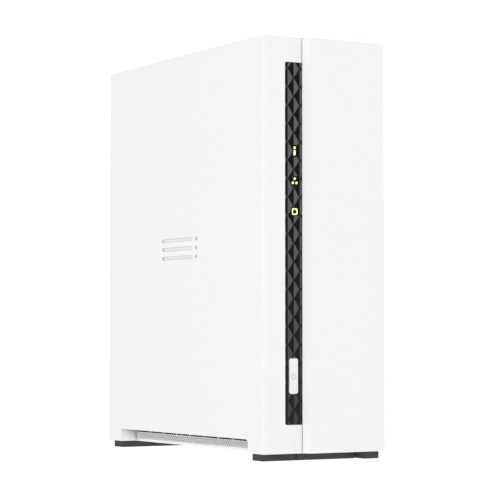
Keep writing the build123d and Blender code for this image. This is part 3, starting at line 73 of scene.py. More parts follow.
def node(tree, kind, inputs=None, **settings):
    """Adds a node. Settings are its properties."""
    made = tree.nodes.new(kind)
    for name, value in settings.items():
        setattr(made, name, value)
    fill(tree, made, inputs or {})
    return made


def maths(tree, operation, *values):
    """One arithmetic step, as an output socket."""
    return node(tree, "ShaderNodeMath", dict(enumerate(values)), operation=operation).outputs[0]


def blend_colour(tree, share, first, second):
    """Mixes two colours; returns the output socket."""
    inputs = {0: share, 6: first, 7: second}
    return node(tree, "ShaderNodeMix", inputs, data_type="RGBA").outputs[2]


def spread(tree, value, low, high, to_low=0.0, to_high=1.0):
    """Stretches a value from one range to another and clamps it."""
    inputs = {0: value, 1: low, 2: high, 3: to_low, 4: to_high}
    return node(tree, "ShaderNodeMapRange", inputs).outputs[0]


def place_in_mm(tree):
    """The point's own place on the object, in millimetres."""
    where = node(tree, "ShaderNodeTexCoord").outputs["Object"]
    return node(tree, "ShaderNodeVectorMath", {0: where, 3: 1 / mm}, operation="SCALE").outputs[0]


def noise(tree, place, scale, detail):
    """Soft noise, as an output socket from 0 to 1."""
    inputs = {"Vector": place, "Scale": scale, "Detail": detail}
    return node(tree, "ShaderNodeTexNoise", inputs).outputs["Fac"]


def grey(value):
    return (value, value, value, 1.0)


print("node helpers ready")

# %% [markdown]
# ## Moulded grain
#
# The moulds of plastic housings are spark-eroded, which leaves a fine even grain: soft
# pits a few tenths of a millimetre across. A noise texture alone looks like clay, so the
# group joins two sizes of noise with the rounded cells of a Voronoi texture. It puts out
# a height for a Bump node and a speck mask for roughness. Most finishes here use it, each
# with its own grain size, so it is built once as a group.

# %% Moulded grain group
def new_group(name, inputs, outputs):
    """An empty shader node group with named sockets; returns the tree and both ends."""
    tree = bpy.data.node_groups.new(name, "ShaderNodeTree")
    for label, kind, default in inputs:
        socket = tree.interface.new_socket(label, in_out="INPUT", socket_type=kind)
        if default is not None:
            socket.default_value = default
    for label, kind in outputs:
        tree.interface.new_socket(label, in_out="OUTPUT", socket_type=kind)
    return tree, tree.nodes.new("NodeGroupInput"), tree.nodes.new("NodeGroupOutput")


def grain_group():
    tree, entry, leave = new_group(
        "Moulded grain",
        [("Grain Size", "NodeSocketFloat", 0.3), ("Softness", "NodeSocketFloat", 0.5)],
        [("Height", "NodeSocketFloat"), ("Specks", "NodeSocketFloat")],
    )
    place = place_in_mm(tree)
    scale = maths(tree, "DIVIDE", 1.0, entry.outputs["Grain Size"])
    cells = node(
        tree, "ShaderNodeTexVoronoi", {"Vector": place, "Scale": scale}, feature="SMOOTH_F1"
    )
    fine = noise(tree, place, scale, 3.0)
    shares = {0: entry.outputs["Softness"], 2: cells.outputs["Distance"], 3: fine}
    height = node(tree, "ShaderNodeMix", shares).outputs[0]
    fill(tree, leave, {"Height": height, "Specks": spread(tree, fine, 0.35, 0.7)})
    return tree


moulded_grain = grain_group()
print("group:", moulded_grain.name)

# %% [markdown]
# ## Slow drift of the colour
#
# No real surface has one exact colour: plastic is a little warmer where it flowed slowly,
# paint is thinner near an edge, metal yellows in patches. The group takes a colour and
# lets its brightness and warmth drift in broad soft patches, with a finer mottle on top.

# %% Tone drift group
def drift_group():
    tree, entry, leave = new_group(
        "Tone drift",
        [
            ("Colour", "NodeSocketColor", None),
            ("Amount", "NodeSocketFloat", 0.03),
            ("Patch Size", "NodeSocketFloat", 30.0),
        ],
        [("Colour", "NodeSocketColor"), ("Patches", "NodeSocketFloat")],
    )
    place = place_in_mm(tree)
    scale = maths(tree, "DIVIDE", 1.0, entry.outputs["Patch Size"])
    broad = noise(tree, place, scale, 2.0)
    mottle = noise(tree, place, maths(tree, "MULTIPLY", scale, 14.0), 4.0)
    both = maths(tree, "MULTIPLY_ADD", mottle, 0.35, broad)
    swing = maths(tree, "SUBTRACT", both, 0.675)
    amount = entry.outputs["Amount"]
    brighter, warmer = (maths(tree, "MULTIPLY", swing, gain) for gain in (4.0, -0.5))
    value = maths(tree, "MULTIPLY_ADD", brighter, amount, 1.0)
    warmth = maths(tree, "MULTIPLY_ADD", warmer, amount, 0.5)
    inputs = {"Hue": warmth, "Value": value, "Color": entry.outputs["Colour"]}
    shifted = node(tree, "ShaderNodeHueSaturation", inputs).outputs[0]
    fill(tree, leave, {"Colour": shifted, "Patches": spread(tree, both, 0.45, 0.9)})
    return tree


tone_drift = drift_group()
print("group:", tone_drift.name)

# %% [markdown]
# ## Fine scratches and drawn lines
#
# Sheet metal carries lines from the rollers, turned screws carry rings, and every handled
# surface has a few hair scratches. All of them are noise stretched a lot in one direction.
# The group stretches its noise by the three numbers it is given, and puts out the lines
# themselves and a sparser mask of the deepest ones.

# %% Drawn lines group
def lines_group():
    tree, entry, leave = new_group(
        "Drawn lines",
        [("Stretch", "NodeSocketVector", None), ("Line Size", "NodeSocketFloat", 0.2)],
        [("Lines", "NodeSocketFloat"), ("Scratches", "NodeSocketFloat")],
    )
    place = place_in_mm(tree)
    stretched = node(
        tree, "ShaderNodeVectorMath", {0: place, 1: entry.outputs["Stretch"]}, operation="MULTIPLY"
    )
    scale = maths(tree, "DIVIDE", 1.0, entry.outputs["Line Size"])
    lines = noise(tree, stretched.outputs[0], scale, 5.0)
    fill(tree, leave, {"Lines": lines, "Scratches": spread(tree, lines, 0.66, 0.74)})
    return tree


drawn_lines = lines_group()
print("group:", drawn_lines.name)

# %% [markdown]
# ## Settled dust
#
# Dust lies on what faces up and gathers in a loose, cloudy pattern. The group compares the
# surface's direction with straight up and breaks the result with noise. Its mask lightens
# dark parts and takes their shine away.

# %% Dust group
def dust_group():
    tree, entry, leave = new_group(
        "Settled dust",
        [("Amount", "NodeSocketFloat", 0.3)],
        [("Mask", "NodeSocketFloat")],
    )
    place = place_in_mm(tree)
    facing = node(tree, "ShaderNodeNewGeometry").outputs["Normal"]
    up = node(tree, "ShaderNodeSeparateXYZ", {0: facing}).outputs["Z"]
    cloud = spread(tree, noise(tree, place, 0.35, 8.0), 0.35, 0.75)
    broken = maths(tree, "MULTIPLY", spread(tree, up, 0.2, 0.95), cloud)
    fill(tree, leave, {"Mask": maths(tree, "MULTIPLY", broken, entry.outputs["Amount"])})
    return tree


settled_dust = dust_group()
print("group:", settled_dust.name)

# %% [markdown]
# ## Painted shade in hollows
#
# Corners and hollows of a white housing look greyer than its open faces, because less
# light gets in. This group paints that shade into the colour. The Ambient Occlusion node
# measures how open a point is within a few millimetres. The group turns that into a mask,
# which a finish uses to grey its colour a little in its own hollows: painted shade.

# %% Painted hollow shade group
def hollow_group():
    tree, entry, leave = new_group(
        "Painted hollow shade",
        [("Reach", "NodeSocketFloat", 8.0), ("Amount", "NodeSocketFloat", 0.5)],
        [("Mask", "NodeSocketFloat")],
    )
    reach = maths(tree, "MULTIPLY", entry.outputs["Reach"], mm)
    openness = node(
        tree, "ShaderNodeAmbientOcclusion", {"Distance": reach}, samples=8, only_local=True
    ).outputs["AO"]
    # Painted shade: the mask grows as a point gets less open.
    closed = spread(tree, openness, 0.2, 0.78, 1.0, 0.0)
    fill(tree, leave, {"Mask": maths(tree, "MULTIPLY", closed, entry.outputs["Amount"])})
    return tree


painted_hollow_shade = hollow_group()
print("group:", painted_hollow_shade.name)

# %% [markdown]
# ## One recipe for the moulded plastics
#
# White housing, black sockets, grey feet and the fan are all moulded plastics. They differ
# in colour, gloss and grain, and not in how light meets them, so a single function builds
# them: drifting colour, specks in the roughness, a fine bump, a trace of dust and, where
# asked, painted shade that greys the colour in hollows.

# %% Plastic finish
def place_group(tree, group, inputs):
    """Puts a shared group into a material with its own values."""
    return node(tree, "ShaderNodeGroup", inputs, node_tree=group)


def toned(tree, colour, amount, patch):
    """A colour that drifts slowly over patches, as the group's node."""
    values = {"Colour": (*colour, 1.0), "Amount": amount, "Patch Size": patch}
    return place_group(tree, tone_drift, values)


def blank_finish(name):
    """A new material with only a Principled shader; returns it, its tree and the shader."""
    made = bpy.data.materials.new(name)
    made.use_nodes = True
    return made, made.node_tree, made.node_tree.nodes["Principled BSDF"]


def bump_from(tree, shader, height, strength, depth):
    """Feeds a height, in millimetres deep, to the shader's normal."""
    inputs = {"Height": height, "Strength": strength, "Distance": depth * mm}
    fill(tree, shader, {"Normal": node(tree, "ShaderNodeBump", inputs).outputs[0]})


# The first grey is the colour of settled dust; the second is painted shade for hollows.
dust_grey, painted_shade_grey = grey(0.55), grey(0.12)
hollow_reach = 9.0


def plastic(
    name,
    colour,
    roughness,
    grain=0.3,
    grain_depth=0.02,
    drift=0.03,
    patch=30.0,
    dust=0.1,
    shine=0.5,
    hollow=0.0,
):
    """Moulded plastic: colour, gloss and the size of its grain in millimetres."""
    made, tree, shader = blank_finish(name)
    tone = toned(tree, colour, drift, patch)
    skin = place_group(tree, moulded_grain, {"Grain Size": grain, "Softness": 0.55})
    film = place_group(tree, settled_dust, {"Amount": dust})
    dust_and_painted_shade = blend_colour(tree, film.outputs["Mask"], tone.outputs["Colour"], dust_grey)
    # Painted shade: where asked, the colour is greyed in hollows, standing in for the shade that
    # falls there.
    if hollow:
        closed = place_group(tree, painted_hollow_shade, {"Reach": hollow_reach, "Amount": hollow})
        dust_and_painted_shade = blend_colour(tree, closed.outputs["Mask"], dust_and_painted_shade, painted_shade_grey)
    satin = maths(tree, "MULTIPLY_ADD", skin.outputs["Specks"], 0.08, roughness - 0.04)
    dulled = maths(tree, "MULTIPLY_ADD", film.outputs["Mask"], 0.3, satin)
    looks = {"Base Color": dust_and_painted_shade, "Roughness": dulled, "Specular IOR Level": shine}
    fill(tree, shader, looks)
    bump_from(tree, shader, skin.outputs["Height"], 0.5, grain_depth)
    return made


finishes = {}
finishes["black_plastic"] = plastic("Black socket plastic", (0.012, 0.012, 0.013), 0.42, 0.25)
finishes["socket_plastic"] = plastic("Ivory connector plastic", (0.62, 0.58, 0.48), 0.45, 0.2)
finishes["usb_blue"] = plastic("Blue tongue plastic", (0.01, 0.10, 0.42), 0.38, 0.2)
finishes["fan_black"] = plastic("Fan plastic", (0.014, 0.014, 0.015), 0.36, 0.35, dust=0.25)
finishes["lead_black"] = plastic("Lead sleeve", (0.02, 0.02, 0.021), 0.55, 0.15, 0.01)
print("plastics:", len(finishes))

# %% [markdown]
# ## White housing
#
# The housing is white plastic with a silky matt skin. On a white thing almost nothing of
# the material is seen but its roundness and its softest shadows, so the grain is very fine
# and the drift tiny: more would look dirty. The same recipe serves the sliding cover and
# the fixed housing, with patches of another size because the mouldings are separate. Both
# get painted shade in their hollows, and so does the grey grille.

# %% White finishes
body_white = (0.82, 0.822, 0.826)
# Painted shade: the last value sets how much grey goes into the hollows of housing and cover.
white_skin = dict(grain=0.22, grain_depth=0.006, drift=0.006, dust=0.0, shine=0.35, hollow=0.85)
finishes["white_cover"] = plastic("White cover", body_white, 0.52, patch=55.0, **white_skin)
finishes["white_housing"] = plastic("White housing", body_white, 0.52, patch=47.0, **white_skin)
finishes["button_white"] = plastic(
    "White button", (0.80, 0.80, 0.805), 0.4, 0.18, 0.004, drift=0.006, patch=9.0, dust=0.0
)
# Painted shade: the grille's hollows are greyed too, though less.
finishes["vent_grille"] = plastic(
    "Grille plastic", (0.60, 0.605, 0.61), 0.5, 0.2, 0.01, drift=0.02, patch=12.0, hollow=0.4
)
print("white finishes ready")

# %% [markdown]
# ## Painted rear panel
#
# The rear panel is steel sheet with a powder coat. Powder flows out in low waves called
# orange peel, about a millimetre across, with fine specks where grains stand proud. Both
# come from noise at two sizes, and the paint has a thin clear shine over the colour.

# %% Powder coat
def powder_coat(name, colour):
    made, tree, shader = blank_finish(name)
    place = place_in_mm(tree)
    tone = toned(tree, colour, 0.012, 22.0)
    peel = noise(tree, place, 0.9, 1.0)
    specks = spread(tree, noise(tree, place, 6.0, 2.0), 0.62, 0.72)
    share = maths(tree, "MULTIPLY", specks, 0.1)
    speckled = blend_colour(tree, share, tone.outputs["Colour"], grey(0.45))
    gloss = maths(tree, "MULTIPLY_ADD", peel, 0.14, 0.36)
    fill(tree, shader, {"Base Color": speckled, "Roughness": gloss})
    bump_from(tree, shader, maths(tree, "MULTIPLY_ADD", specks, 0.15, peel), 0.35, 0.04)
    return made


finishes["rear_panel"] = powder_coat("Powder-coated steel", (0.80, 0.802, 0.81))
print("rear panel finish ready")

# %% [markdown]
# ## Black trim strip
#
# The strip is satin black plastic pressed into small crossed facets that look woven. Its
# facets are real geometry, made further down, so the finish only has to be right between
# the edges. The colour carries painted light: a facet that faces right is painted charcoal
# as if lit, and one that faces left is nearly black, which the surface's own direction tells.
# The painted light fades towards the foot of the strip, and faint flow lines run along it.

# %% Trim finish
def trim_finish(name):
    made, tree, shader = blank_finish(name)
    facing = node(tree, "ShaderNodeNewGeometry").outputs["Normal"]
    rightward = node(tree, "ShaderNodeSeparateXYZ", {0: facing}).outputs["X"]
    height = node(tree, "ShaderNodeSeparateXYZ", {0: place_in_mm(tree)}).outputs["Z"]
    # Painted shade: facets that face right are painted darker towards the foot of the strip.
    paler = spread(tree, height, 20.0, 110.0, 0.3, 1.0)
    share = maths(tree, "MULTIPLY", spread(tree, rightward, 0.03, 0.08), paler)
    # Painted light: the charcoal on facets that face right stands in for the light they catch;
    # facets that face left stay nearly black.
    film = blend_colour(tree, share, (0.0045, 0.0045, 0.005, 1.0), (0.075, 0.075, 0.078, 1.0))
    tone = place_group(tree, tone_drift, {"Colour": film, "Amount": 0.06, "Patch Size": 6.0})
    flow = place_group(tree, drawn_lines, {"Stretch": (1.0, 1.0, 0.05), "Line Size": 0.5})
    skin = place_group(tree, moulded_grain, {"Grain Size": 0.12, "Softness": 0.6})
    gloss = maths(tree, "MULTIPLY_ADD", flow.outputs["Lines"], 0.08, 0.2)
    looks = {"Base Color": tone.outputs["Colour"], "Roughness": gloss, "Specular IOR Level": 0.22}
    fill(tree, shader, looks)
    bump_from(tree, shader, skin.outputs["Height"], 0.25, 0.003)
    return made


finishes["trim_black"] = trim_finish("Satin black trim")
print("trim finish ready")

# %% [markdown]
# ## Lit signs
#
# Each sign is a clear moulding with a small lamp behind it. The light is strongest in the
# middle of the stroke, where it is almost white, and takes its colour towards the edge.
# The rounded lens faces straight ahead in its middle and sideways at its rim, so the
# direction of its surface makes that change, and a slow noise keeps the glow from being
# perfectly even.

# %% Light finish
def lit_sign(name, core, rim, strength):
    made, tree, shader = blank_finish(name)
    place = place_in_mm(tree)
    cloud = noise(tree, place, 1.6, 2.0)
    normal = node(tree, "ShaderNodeNewGeometry").outputs["Normal"]
    faces = node(tree, "ShaderNodeSeparateXYZ", {"Vector": normal})
    turn = maths(tree, "ADD", faces.outputs["Y"], 1.0)
    share = maths(tree, "MULTIPLY_ADD", cloud, 0.15, turn)
    glow = blend_colour(tree, spread(tree, share, 0.08, 0.5), (*core, 1.0), (*rim, 1.0))
    gloss = maths(tree, "MULTIPLY_ADD", cloud, 0.1, 0.25)
    fill(tree, shader, {"Base Color": glow, "Emission Color": glow, "Roughness": gloss})
    fill(tree, shader, {"Emission Strength": strength})
    return made


finishes["green_light"] = lit_sign("Green light", (0.80, 1.0, 0.50), (0.30, 0.85, 0.10), 1.0)
finishes["amber_light"] = lit_sign("Amber light", (1.0, 0.90, 0.42), (0.9, 0.62, 0.08), 1.0)
print("light finishes ready")

# %% [markdown]
# ## Rubber feet
#
# The feet are dark grey elastomer: dull, slightly chalky, with a coarse fine-pitted skin
# and a paler bloom where they are rubbed. It is a plastic recipe with high roughness and a
# bloom mask in the colour.

# %% Rubber finish
def rubber(name, colour, bloom):
    made, tree, shader = blank_finish(name)
    tone = toned(tree, colour, 0.08, 5.0)
    skin = place_group(tree, moulded_grain, {"Grain Size": 0.35, "Softness": 0.4})
    share = maths(tree, "MULTIPLY", skin.outputs["Specks"], 0.25)
    bloomed = blend_colour(tree, share, tone.outputs["Colour"], (*bloom, 1.0))
    gloss = maths(tree, "MULTIPLY_ADD", tone.outputs["Patches"], 0.12, 0.68)
    fill(tree, shader, {"Base Color": bloomed, "Roughness": gloss})
    bump_from(tree, shader, skin.outputs["Height"], 0.6, 0.03)
    return made


finishes["foot_rubber"] = rubber("Foot rubber", (0.030, 0.031, 0.034), (0.07, 0.07, 0.074))
print("rubber finish ready")

# %% [markdown]
# ## Metals
#
# Screws, steel sheet, the drive's casting and the tin cans of the sockets are bare metals.
# A metal's colour is its reflection's colour, and its character is in how rough it is and
# which way its lines run. One function makes them from drawn lines; the galvanised sheet
# has its own, because its zinc forms large crystals.

# %% Metal finishes
def metal(name, colour, roughness, stretch=(1.0, 1.0, 1.0), line=0.3, depth=0.01, patch=10.0):
    made, tree, shader = blank_finish(name)
    tone = toned(tree, colour, 0.05, patch)
    drawn = place_group(tree, drawn_lines, {"Stretch": stretch, "Line Size": line})
    share = maths(tree, "MULTIPLY", drawn.outputs["Scratches"], 0.35)
    bright = (*[min(1.0, part * 1.5) for part in colour], 1.0)
    scratched = blend_colour(tree, share, tone.outputs["Colour"], bright)
    gloss = maths(tree, "MULTIPLY_ADD", drawn.outputs["Lines"], 0.24, roughness - 0.12)
    fill(tree, shader, {"Base Color": scratched, "Roughness": gloss, "Metallic": 1.0})
    bump_from(tree, shader, drawn.outputs["Lines"], 0.4, depth)
    return made


def galvanised(name):
    """Zinc-coated steel: flat crystals of slightly different tone, and roller lines."""
    made, tree, shader = blank_finish(name)
    place = place_in_mm(tree)
    spangle = node(
        tree, "ShaderNodeTexVoronoi", {"Vector": place, "Scale": 0.22, "Randomness": 1.0}
    )
    shade = node(tree, "ShaderNodeSeparateColor", {0: spangle.outputs["Color"]}).outputs[0]
    drawn = place_group(tree, drawn_lines, {"Stretch": (1.0, 1.0, 0.06), "Line Size": 0.35})
    mixed = maths(tree, "MULTIPLY_ADD", drawn.outputs["Lines"], 0.4, shade)
    dark_zinc, pale_zinc = (0.50, 0.51, 0.53, 1.0), (0.68, 0.69, 0.70, 1.0)
    zinc = blend_colour(tree, spread(tree, mixed, 0.0, 1.3), dark_zinc, pale_zinc)
    gloss = spread(tree, mixed, 0.0, 1.3, 0.34, 0.52)
    fill(tree, shader, {"Base Color": zinc, "Roughness": gloss, "Metallic": 1.0})
    bump_from(tree, shader, mixed, 0.3, 0.01)
    return made


finishes["zinc_steel"] = galvanised("Galvanised steel")
turned = dict(line=0.12, depth=0.006)
finishes["bright_screws"] = metal("Nickel-plated screw", (0.66, 0.65, 0.62), 0.32, **turned)
finishes["dark_screws"] = metal("Blackened screw", (0.09, 0.09, 0.095), 0.38, **turned)
finishes["drive_casting"] = metal("Cast aluminium", (0.42, 0.43, 0.44), 0.5, line=0.5, depth=0.04)
finishes["drive_lid"] = metal(
    "Brushed lid", (0.62, 0.63, 0.64), 0.36, (1.0, 0.03, 1.0), 0.3, 0.008, 40.0
)
finishes["sink_aluminium"] = metal(
    "Extruded aluminium", (0.60, 0.61, 0.63), 0.38, (1.0, 1.0, 0.05), 0.25
)
finishes["can_aluminium"] = metal(
    "Capacitor can", (0.68, 0.69, 0.71), 0.3, (0.05, 1.0, 1.0), 0.2, 0.005
)
finishes["cell_steel"] = metal("Cell steel", (0.64, 0.64, 0.62), 0.28, line=0.15, depth=0.004)
finishes["jack_shield"] = metal(
    "Nickel shield", (0.70, 0.69, 0.66), 0.27, (1.0, 0.06, 1.0), 0.25, 0.005
)
print("finishes so far:", len(finishes))

# %% [markdown]
# ## Circuit board
#
# A board is fibreglass under green lacquer. Copper tracks lie under the lacquer and show
# as a slightly raised, lighter green: they run straight, in bundles, with turns. A Brick
# texture with very long thin bricks gives the bundles, a Voronoi texture scatters the small
# tinned holes, and a noise picks which areas hold tracks at all.

# %% Board finish
def board_finish(name):
    made, tree, shader = blank_finish(name)
    place = place_in_mm(tree)
    parts = node(tree, "ShaderNodeSeparateXYZ", {0: place})
    across = node(
        tree,
        "ShaderNodeCombineXYZ",
        {0: parts.outputs["Z"], 1: maths(tree, "ADD", parts.outputs["Y"], parts.outputs["X"])},
    )
    tracks = node(
        tree,
        "ShaderNodeTexBrick",
        {
            "Vector": across.outputs[0],
            "Scale": 1.0,
            "Mortar Size": 0.16,
            "Mortar Smooth": 0.1,
            "Brick Width": 17.0,
            "Row Height": 0.9,
        },
    )
    held = spread(tree, noise(tree, place, 0.11, 1.0), 0.47, 0.5)
    copper = maths(tree, "MULTIPLY", tracks.outputs["Fac"], held)
    scatter = {"Vector": across.outputs[0], "Scale": 0.35, "Randomness": 0.9}
    dots = node(tree, "ShaderNodeTexVoronoi", scatter)
    hole = spread(tree, dots.outputs["Distance"], 0.13, 0.16, 1.0, 0.0)
    lacquer = toned(tree, (0.006, 0.075, 0.032), 0.05, 9.0)
    with_tracks = blend_colour(tree, copper, lacquer.outputs["Colour"], (0.012, 0.17, 0.07, 1.0))
    with_holes = blend_colour(tree, hole, with_tracks, (0.55, 0.52, 0.44, 1.0))
    gloss = maths(tree, "MULTIPLY_ADD", lacquer.outputs["Patches"], 0.1, 0.28)
    fill(tree, shader, {"Base Color": with_holes, "Metallic": hole, "Roughness": gloss})
    bump_from(tree, shader, maths(tree, "ADD", copper, hole), 0.6, 0.03)
    return made


finishes["circuit_board"] = board_finish("Green circuit board")
print("board finish ready")

# %% [markdown]
# ## Chips, lamps and the flat lead
#
# Chip packages are moulded epoxy: charcoal, with a coarse dull grain. The lamp chips are
# cream ceramic. The flat lead has parallel wires in a pale film, which a wave texture
# across its width draws.

# %% Small electric finishes
def flat_lead(name):
    made, tree, shader = blank_finish(name)
    place = place_in_mm(tree)
    wires = node(
        tree,
        "ShaderNodeTexWave",
        {"Vector": place, "Scale": 0.32, "Distortion": 0.0},
        bands_direction="Z",
    )
    film = toned(tree, (0.66, 0.66, 0.64), 0.03, 7.0)
    wire = spread(tree, wires.outputs["Fac"], 0.45, 0.6)
    share = maths(tree, "MULTIPLY", wire, 0.6)
    striped = blend_colour(tree, share, film.outputs["Colour"], (0.45, 0.36, 0.22, 1.0))
    gloss = spread(tree, wire, 0.0, 1.0, 0.28, 0.36)
    fill(tree, shader, {"Base Color": striped, "Roughness": gloss})
    bump_from(tree, shader, wire, 0.7, 0.06)
    return made


finishes["ribbon"] = flat_lead("Flat lead")
finishes["chip_black"] = plastic(
    "Chip epoxy", (0.022, 0.022, 0.024), 0.6, 0.12, 0.012, drift=0.08, patch=4.0
)
finishes["light_chip"] = plastic("Lamp chip", (0.75, 0.72, 0.60), 0.4, 0.15, 0.006, patch=1.0)
print("finishes:", len(finishes))

# %% [markdown]
# ## Finishes onto the frame's own parts
#
# Every mesh of the frame comes with a slot named for its finish. The loop swaps each plain
# slot for the finish of that name. Smooth shading by angle keeps flat faces flat and lets
# fillets look round without changing any vertex.

# %% Dress the frame's parts
SMOOTH_ANGLE = radians(32)


def shade(piece):
    """Smooth across gentle turns only."""
    for face in piece.data.polygons:
        face.use_smooth = True
    piece.data.set_sharp_from_angle(angle=SMOOTH_ANGLE)


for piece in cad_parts.values():
    for entry in piece.material_slots:
        entry.material = finishes[entry.material.name.split(".")[0]]
    shade(piece)
print("dressed:", len(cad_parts))

# %% [markdown]
# ## Flat shapes as lists of corners
#
# The trim's relief, the lenses and the button are all made from flat outlines that are cut
# and raised. An outline is a list of corners in order. `trimmed` keeps the part of an
# outline on one side of a line, which is all that is needed to cut a shape by any convex
# outline, or to cut a convex window out of it.

# %% Outline helpers
least_area = 1e-12


def rounded_outline(x0, x1, z0, z1, radius, steps=6):
    """Rectangle with round corners, counter-clockwise."""
    corners = ((x1, z1, 0), (x0, z1, 90), (x0, z0, 180), (x1, z0, 270))
    outline = []
    for x, z, start in corners:
        middle_x = x - radius if x == x1 else x + radius
        middle_z = z - radius if z == z1 else z + radius
        for step in range(steps + 1):
            angle = radians(start + 90 * step / steps)
            outline.append((middle_x + radius * cos(angle), middle_z + radius * sin(angle)))
    return outline


def outline_about(x, z, half_x, half_z, radius, steps=6):
    """Rectangle with round corners about its middle."""
    return rounded_outline(x - half_x, x + half_x, z - half_z, z + half_z, radius, steps)


def trimmed(outline, start, end, keep_left=True):
    """The part of an outline to the left, or the right, of the line from start to end."""
    across = (-(end[1] - start[1]), end[0] - start[0])
    sign = 1 if keep_left else -1

    def side(point):
        return sign * ((point[0] - start[0]) * across[0] + (point[1] - start[1]) * across[1])

    kept = []
    for here, there in zip(outline, outline[1:] + outline[:1]):
        near, far = side(here), side(there)
        if near >= 0:
            kept.append(here)
        if (near > 0 > far) or (near < 0 < far):
            share = near / (near - far)
            kept.append(tuple(a + (b - a) * share for a, b in zip(here, there)))
    return kept if len(kept) > 2 and abs(area_of(kept)) > least_area else []


def area_of(outline):
    pairs = zip(outline, outline[1:] + outline[:1])
    return sum(a[0] * b[1] - b[0] * a[1] for a, b in pairs) / 2


def inside(outline, window):
    """The part of an outline inside a convex window."""
    for start, end in zip(window, window[1:] + window[:1]):
        outline = trimmed(outline, start, end) if outline else []
    return [outline] if outline else []


def outside(outline, window):
    """What a convex window leaves of an outline, as several convex pieces."""
    pieces = []
    for start, end in zip(window, window[1:] + window[:1]):
        if not outline:
            break
        beyond = trimmed(outline, start, end, keep_left=False)
        if beyond:
            pieces.append(beyond)
        outline = trimmed(outline, start, end)
    return pieces


print("outline helpers ready")

# %% [markdown]
# ## The trim's woven relief
#
# The strip is covered by a lattice of tall diamonds. Each diamond has an upright ridge: its
# left half slopes to the left and its right half slopes to the right. Neighbours meet at
# different heights along the crossing lines, which gives small steps, as if flat straps
# were woven. A sheet of facets could not have those steps, so every diamond is a small
# closed solid: two sloping facets on top, upright sides, and a flat back that stands on the
# strip. Diamonds at the border are cut by the strip's outline, and the ones round the signs
# and the button are cut by windows. A fine bevel rounds the edges so that they catch light.

# %% Lattice of the relief
diamond_width = 6.3 * mm
diamond_height = 8.2 * mm
ridge_height = 0.36 * mm
relief_depth = 0.2 * mm
rounding_width = 0.03 * mm
gap_x, gap_z = 0.01 * mm, 0.013 * mm
lattice_columns, lattice_rows = range(-2, 3), range(-2, 24)
strip_low, strip_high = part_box("trim_strip")
lattice_x = strip_low.x + 4.5 * mm
lattice_z = strip_high.z - 6.84 * mm
relief_back = strip_low.y
border, strip_corner = 0.12 * mm, 0.8 * mm
strip_outline = rounded_outline(
    strip_low.x + border,
    strip_high.x - border,
    strip_low.z + border,
    strip_high.z - border,
    strip_corner,
)


def slab(outlines, height, base, thickness_to):
    """Closed mesh: outlines as its front, set forward by height(x), with a flat back."""
    front, back, faces, edges = {}, {}, [], {}
    verts = []

    def vertex(store, point, depth):
        key = (round(point[0] * 1e7), round(point[1] * 1e7))
        if key not in store:
            store[key] = len(verts)
            verts.append((point[0], depth, point[1]))
        return store[key]

    for outline in outlines:
        row = [vertex(front, p, base - height(p[0])) for p in outline]
        under = [vertex(back, p, thickness_to) for p in outline]
        keep = [i for i in range(len(row)) if row[i] != row[i - 1]]
        if len(keep) < 3:
            continue
        row, under = [row[i] for i in keep], [under[i] for i in keep]
        faces += [row, under[::-1]]
        for i in range(len(row)):
            j = (i + 1) % len(row)
            edges[(row[i], row[j])] = (under[i], under[j])
    for (a, b), (c, d) in edges.items():
        if (b, a) not in edges:
            faces.append([b, a, c, d])
    return verts, faces


def merged(parts):
    """Several plain lists as one."""
    verts, faces = [], []
    for more, more_faces in parts:
        shift = len(verts)
        verts += more
        faces += [[index + shift for index in face] for face in more_faces]
    return verts, faces


print("ridge tilt, degrees:", round(atan2(ridge_height, diamond_width / 2) * 180 / pi, 1))

# %% [markdown]
# The windows in the relief leave a flat land round each lit sign and round the button. They
# take their places from the light guides and the button of the frame, so that the relief
# always fits them.

# %% Windows and diamonds
def middle_of(name):
    low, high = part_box(name)
    return (low + high) / 2


sign_margins = {
    "status_light_guide": (1.35 * mm, 2.7 * mm),
    "network_light_guide": (2.25 * mm, 2.25 * mm),
    "drive_light_guide": (2.1 * mm, 2.1 * mm),
}
land_corner, button_land_corner = 1.0 * mm, 1.2 * mm
windows = []
for name, (half_x, half_z) in sign_margins.items():
    at = middle_of(name)
    windows.append(outline_about(at.x, at.z, half_x, half_z, land_corner))
button_middle = middle_of("power_button")
button_half_x, button_half_z = 2.25 * mm, 7.85 * mm
button_gap = 0.5 * mm
windows.append(
    outline_about(
        button_middle.x,
        button_middle.z,
        button_half_x + button_gap,
        button_half_z + button_gap,
        button_land_corner,
    )
)


def placed(name, data):
    """A new object in the scene."""
    piece = bpy.data.objects.new(name, data)
    bpy.context.scene.collection.objects.link(piece)
    return piece


def mesh_piece(name, verts, faces, body, slot_name, finish=None):
    """A new object from plain lists, dressed, and riding on its body."""
    mesh = bpy.data.meshes.new(name)
    mesh.from_pydata(verts, [], faces)
    mesh.validate()
    work = bmesh.new()
    work.from_mesh(mesh)
    bmesh.ops.recalc_face_normals(work, faces=work.faces)
    work.to_mesh(mesh)
    work.free()
    piece = placed(name, mesh)
    mesh.materials.append(finish or finishes[slot_name])
    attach(piece, body)
    return piece


def diamond_solids():
    """All the diamonds of the lattice, cut to the strip and round its windows."""
    half_x, half_z = diamond_width / 2 - gap_x, diamond_height / 2 - gap_z
    solids = []
    for column in lattice_columns:
        for row in lattice_rows:
            x = lattice_x + column * diamond_width / 2
            z = lattice_z - (row + (0.5 if column % 2 == 0 else 0.0)) * diamond_height
            top, bottom = (x, z + half_z), (x, z - half_z)
            halves = [[top, (x - half_x, z), bottom], [bottom, (x + half_x, z), top]]
            pieces = [cut for half in halves for cut in inside(half, strip_outline)]
            for window in windows:
                pieces = [cut for piece in pieces for cut in outside(piece, window)]
            if not pieces:
                continue

            def height(across):
                return ridge_height * (1 - abs(across - x) / half_x)

            solids.append(slab(pieces, height, relief_back, relief_back + relief_depth))
    return merged(solids)


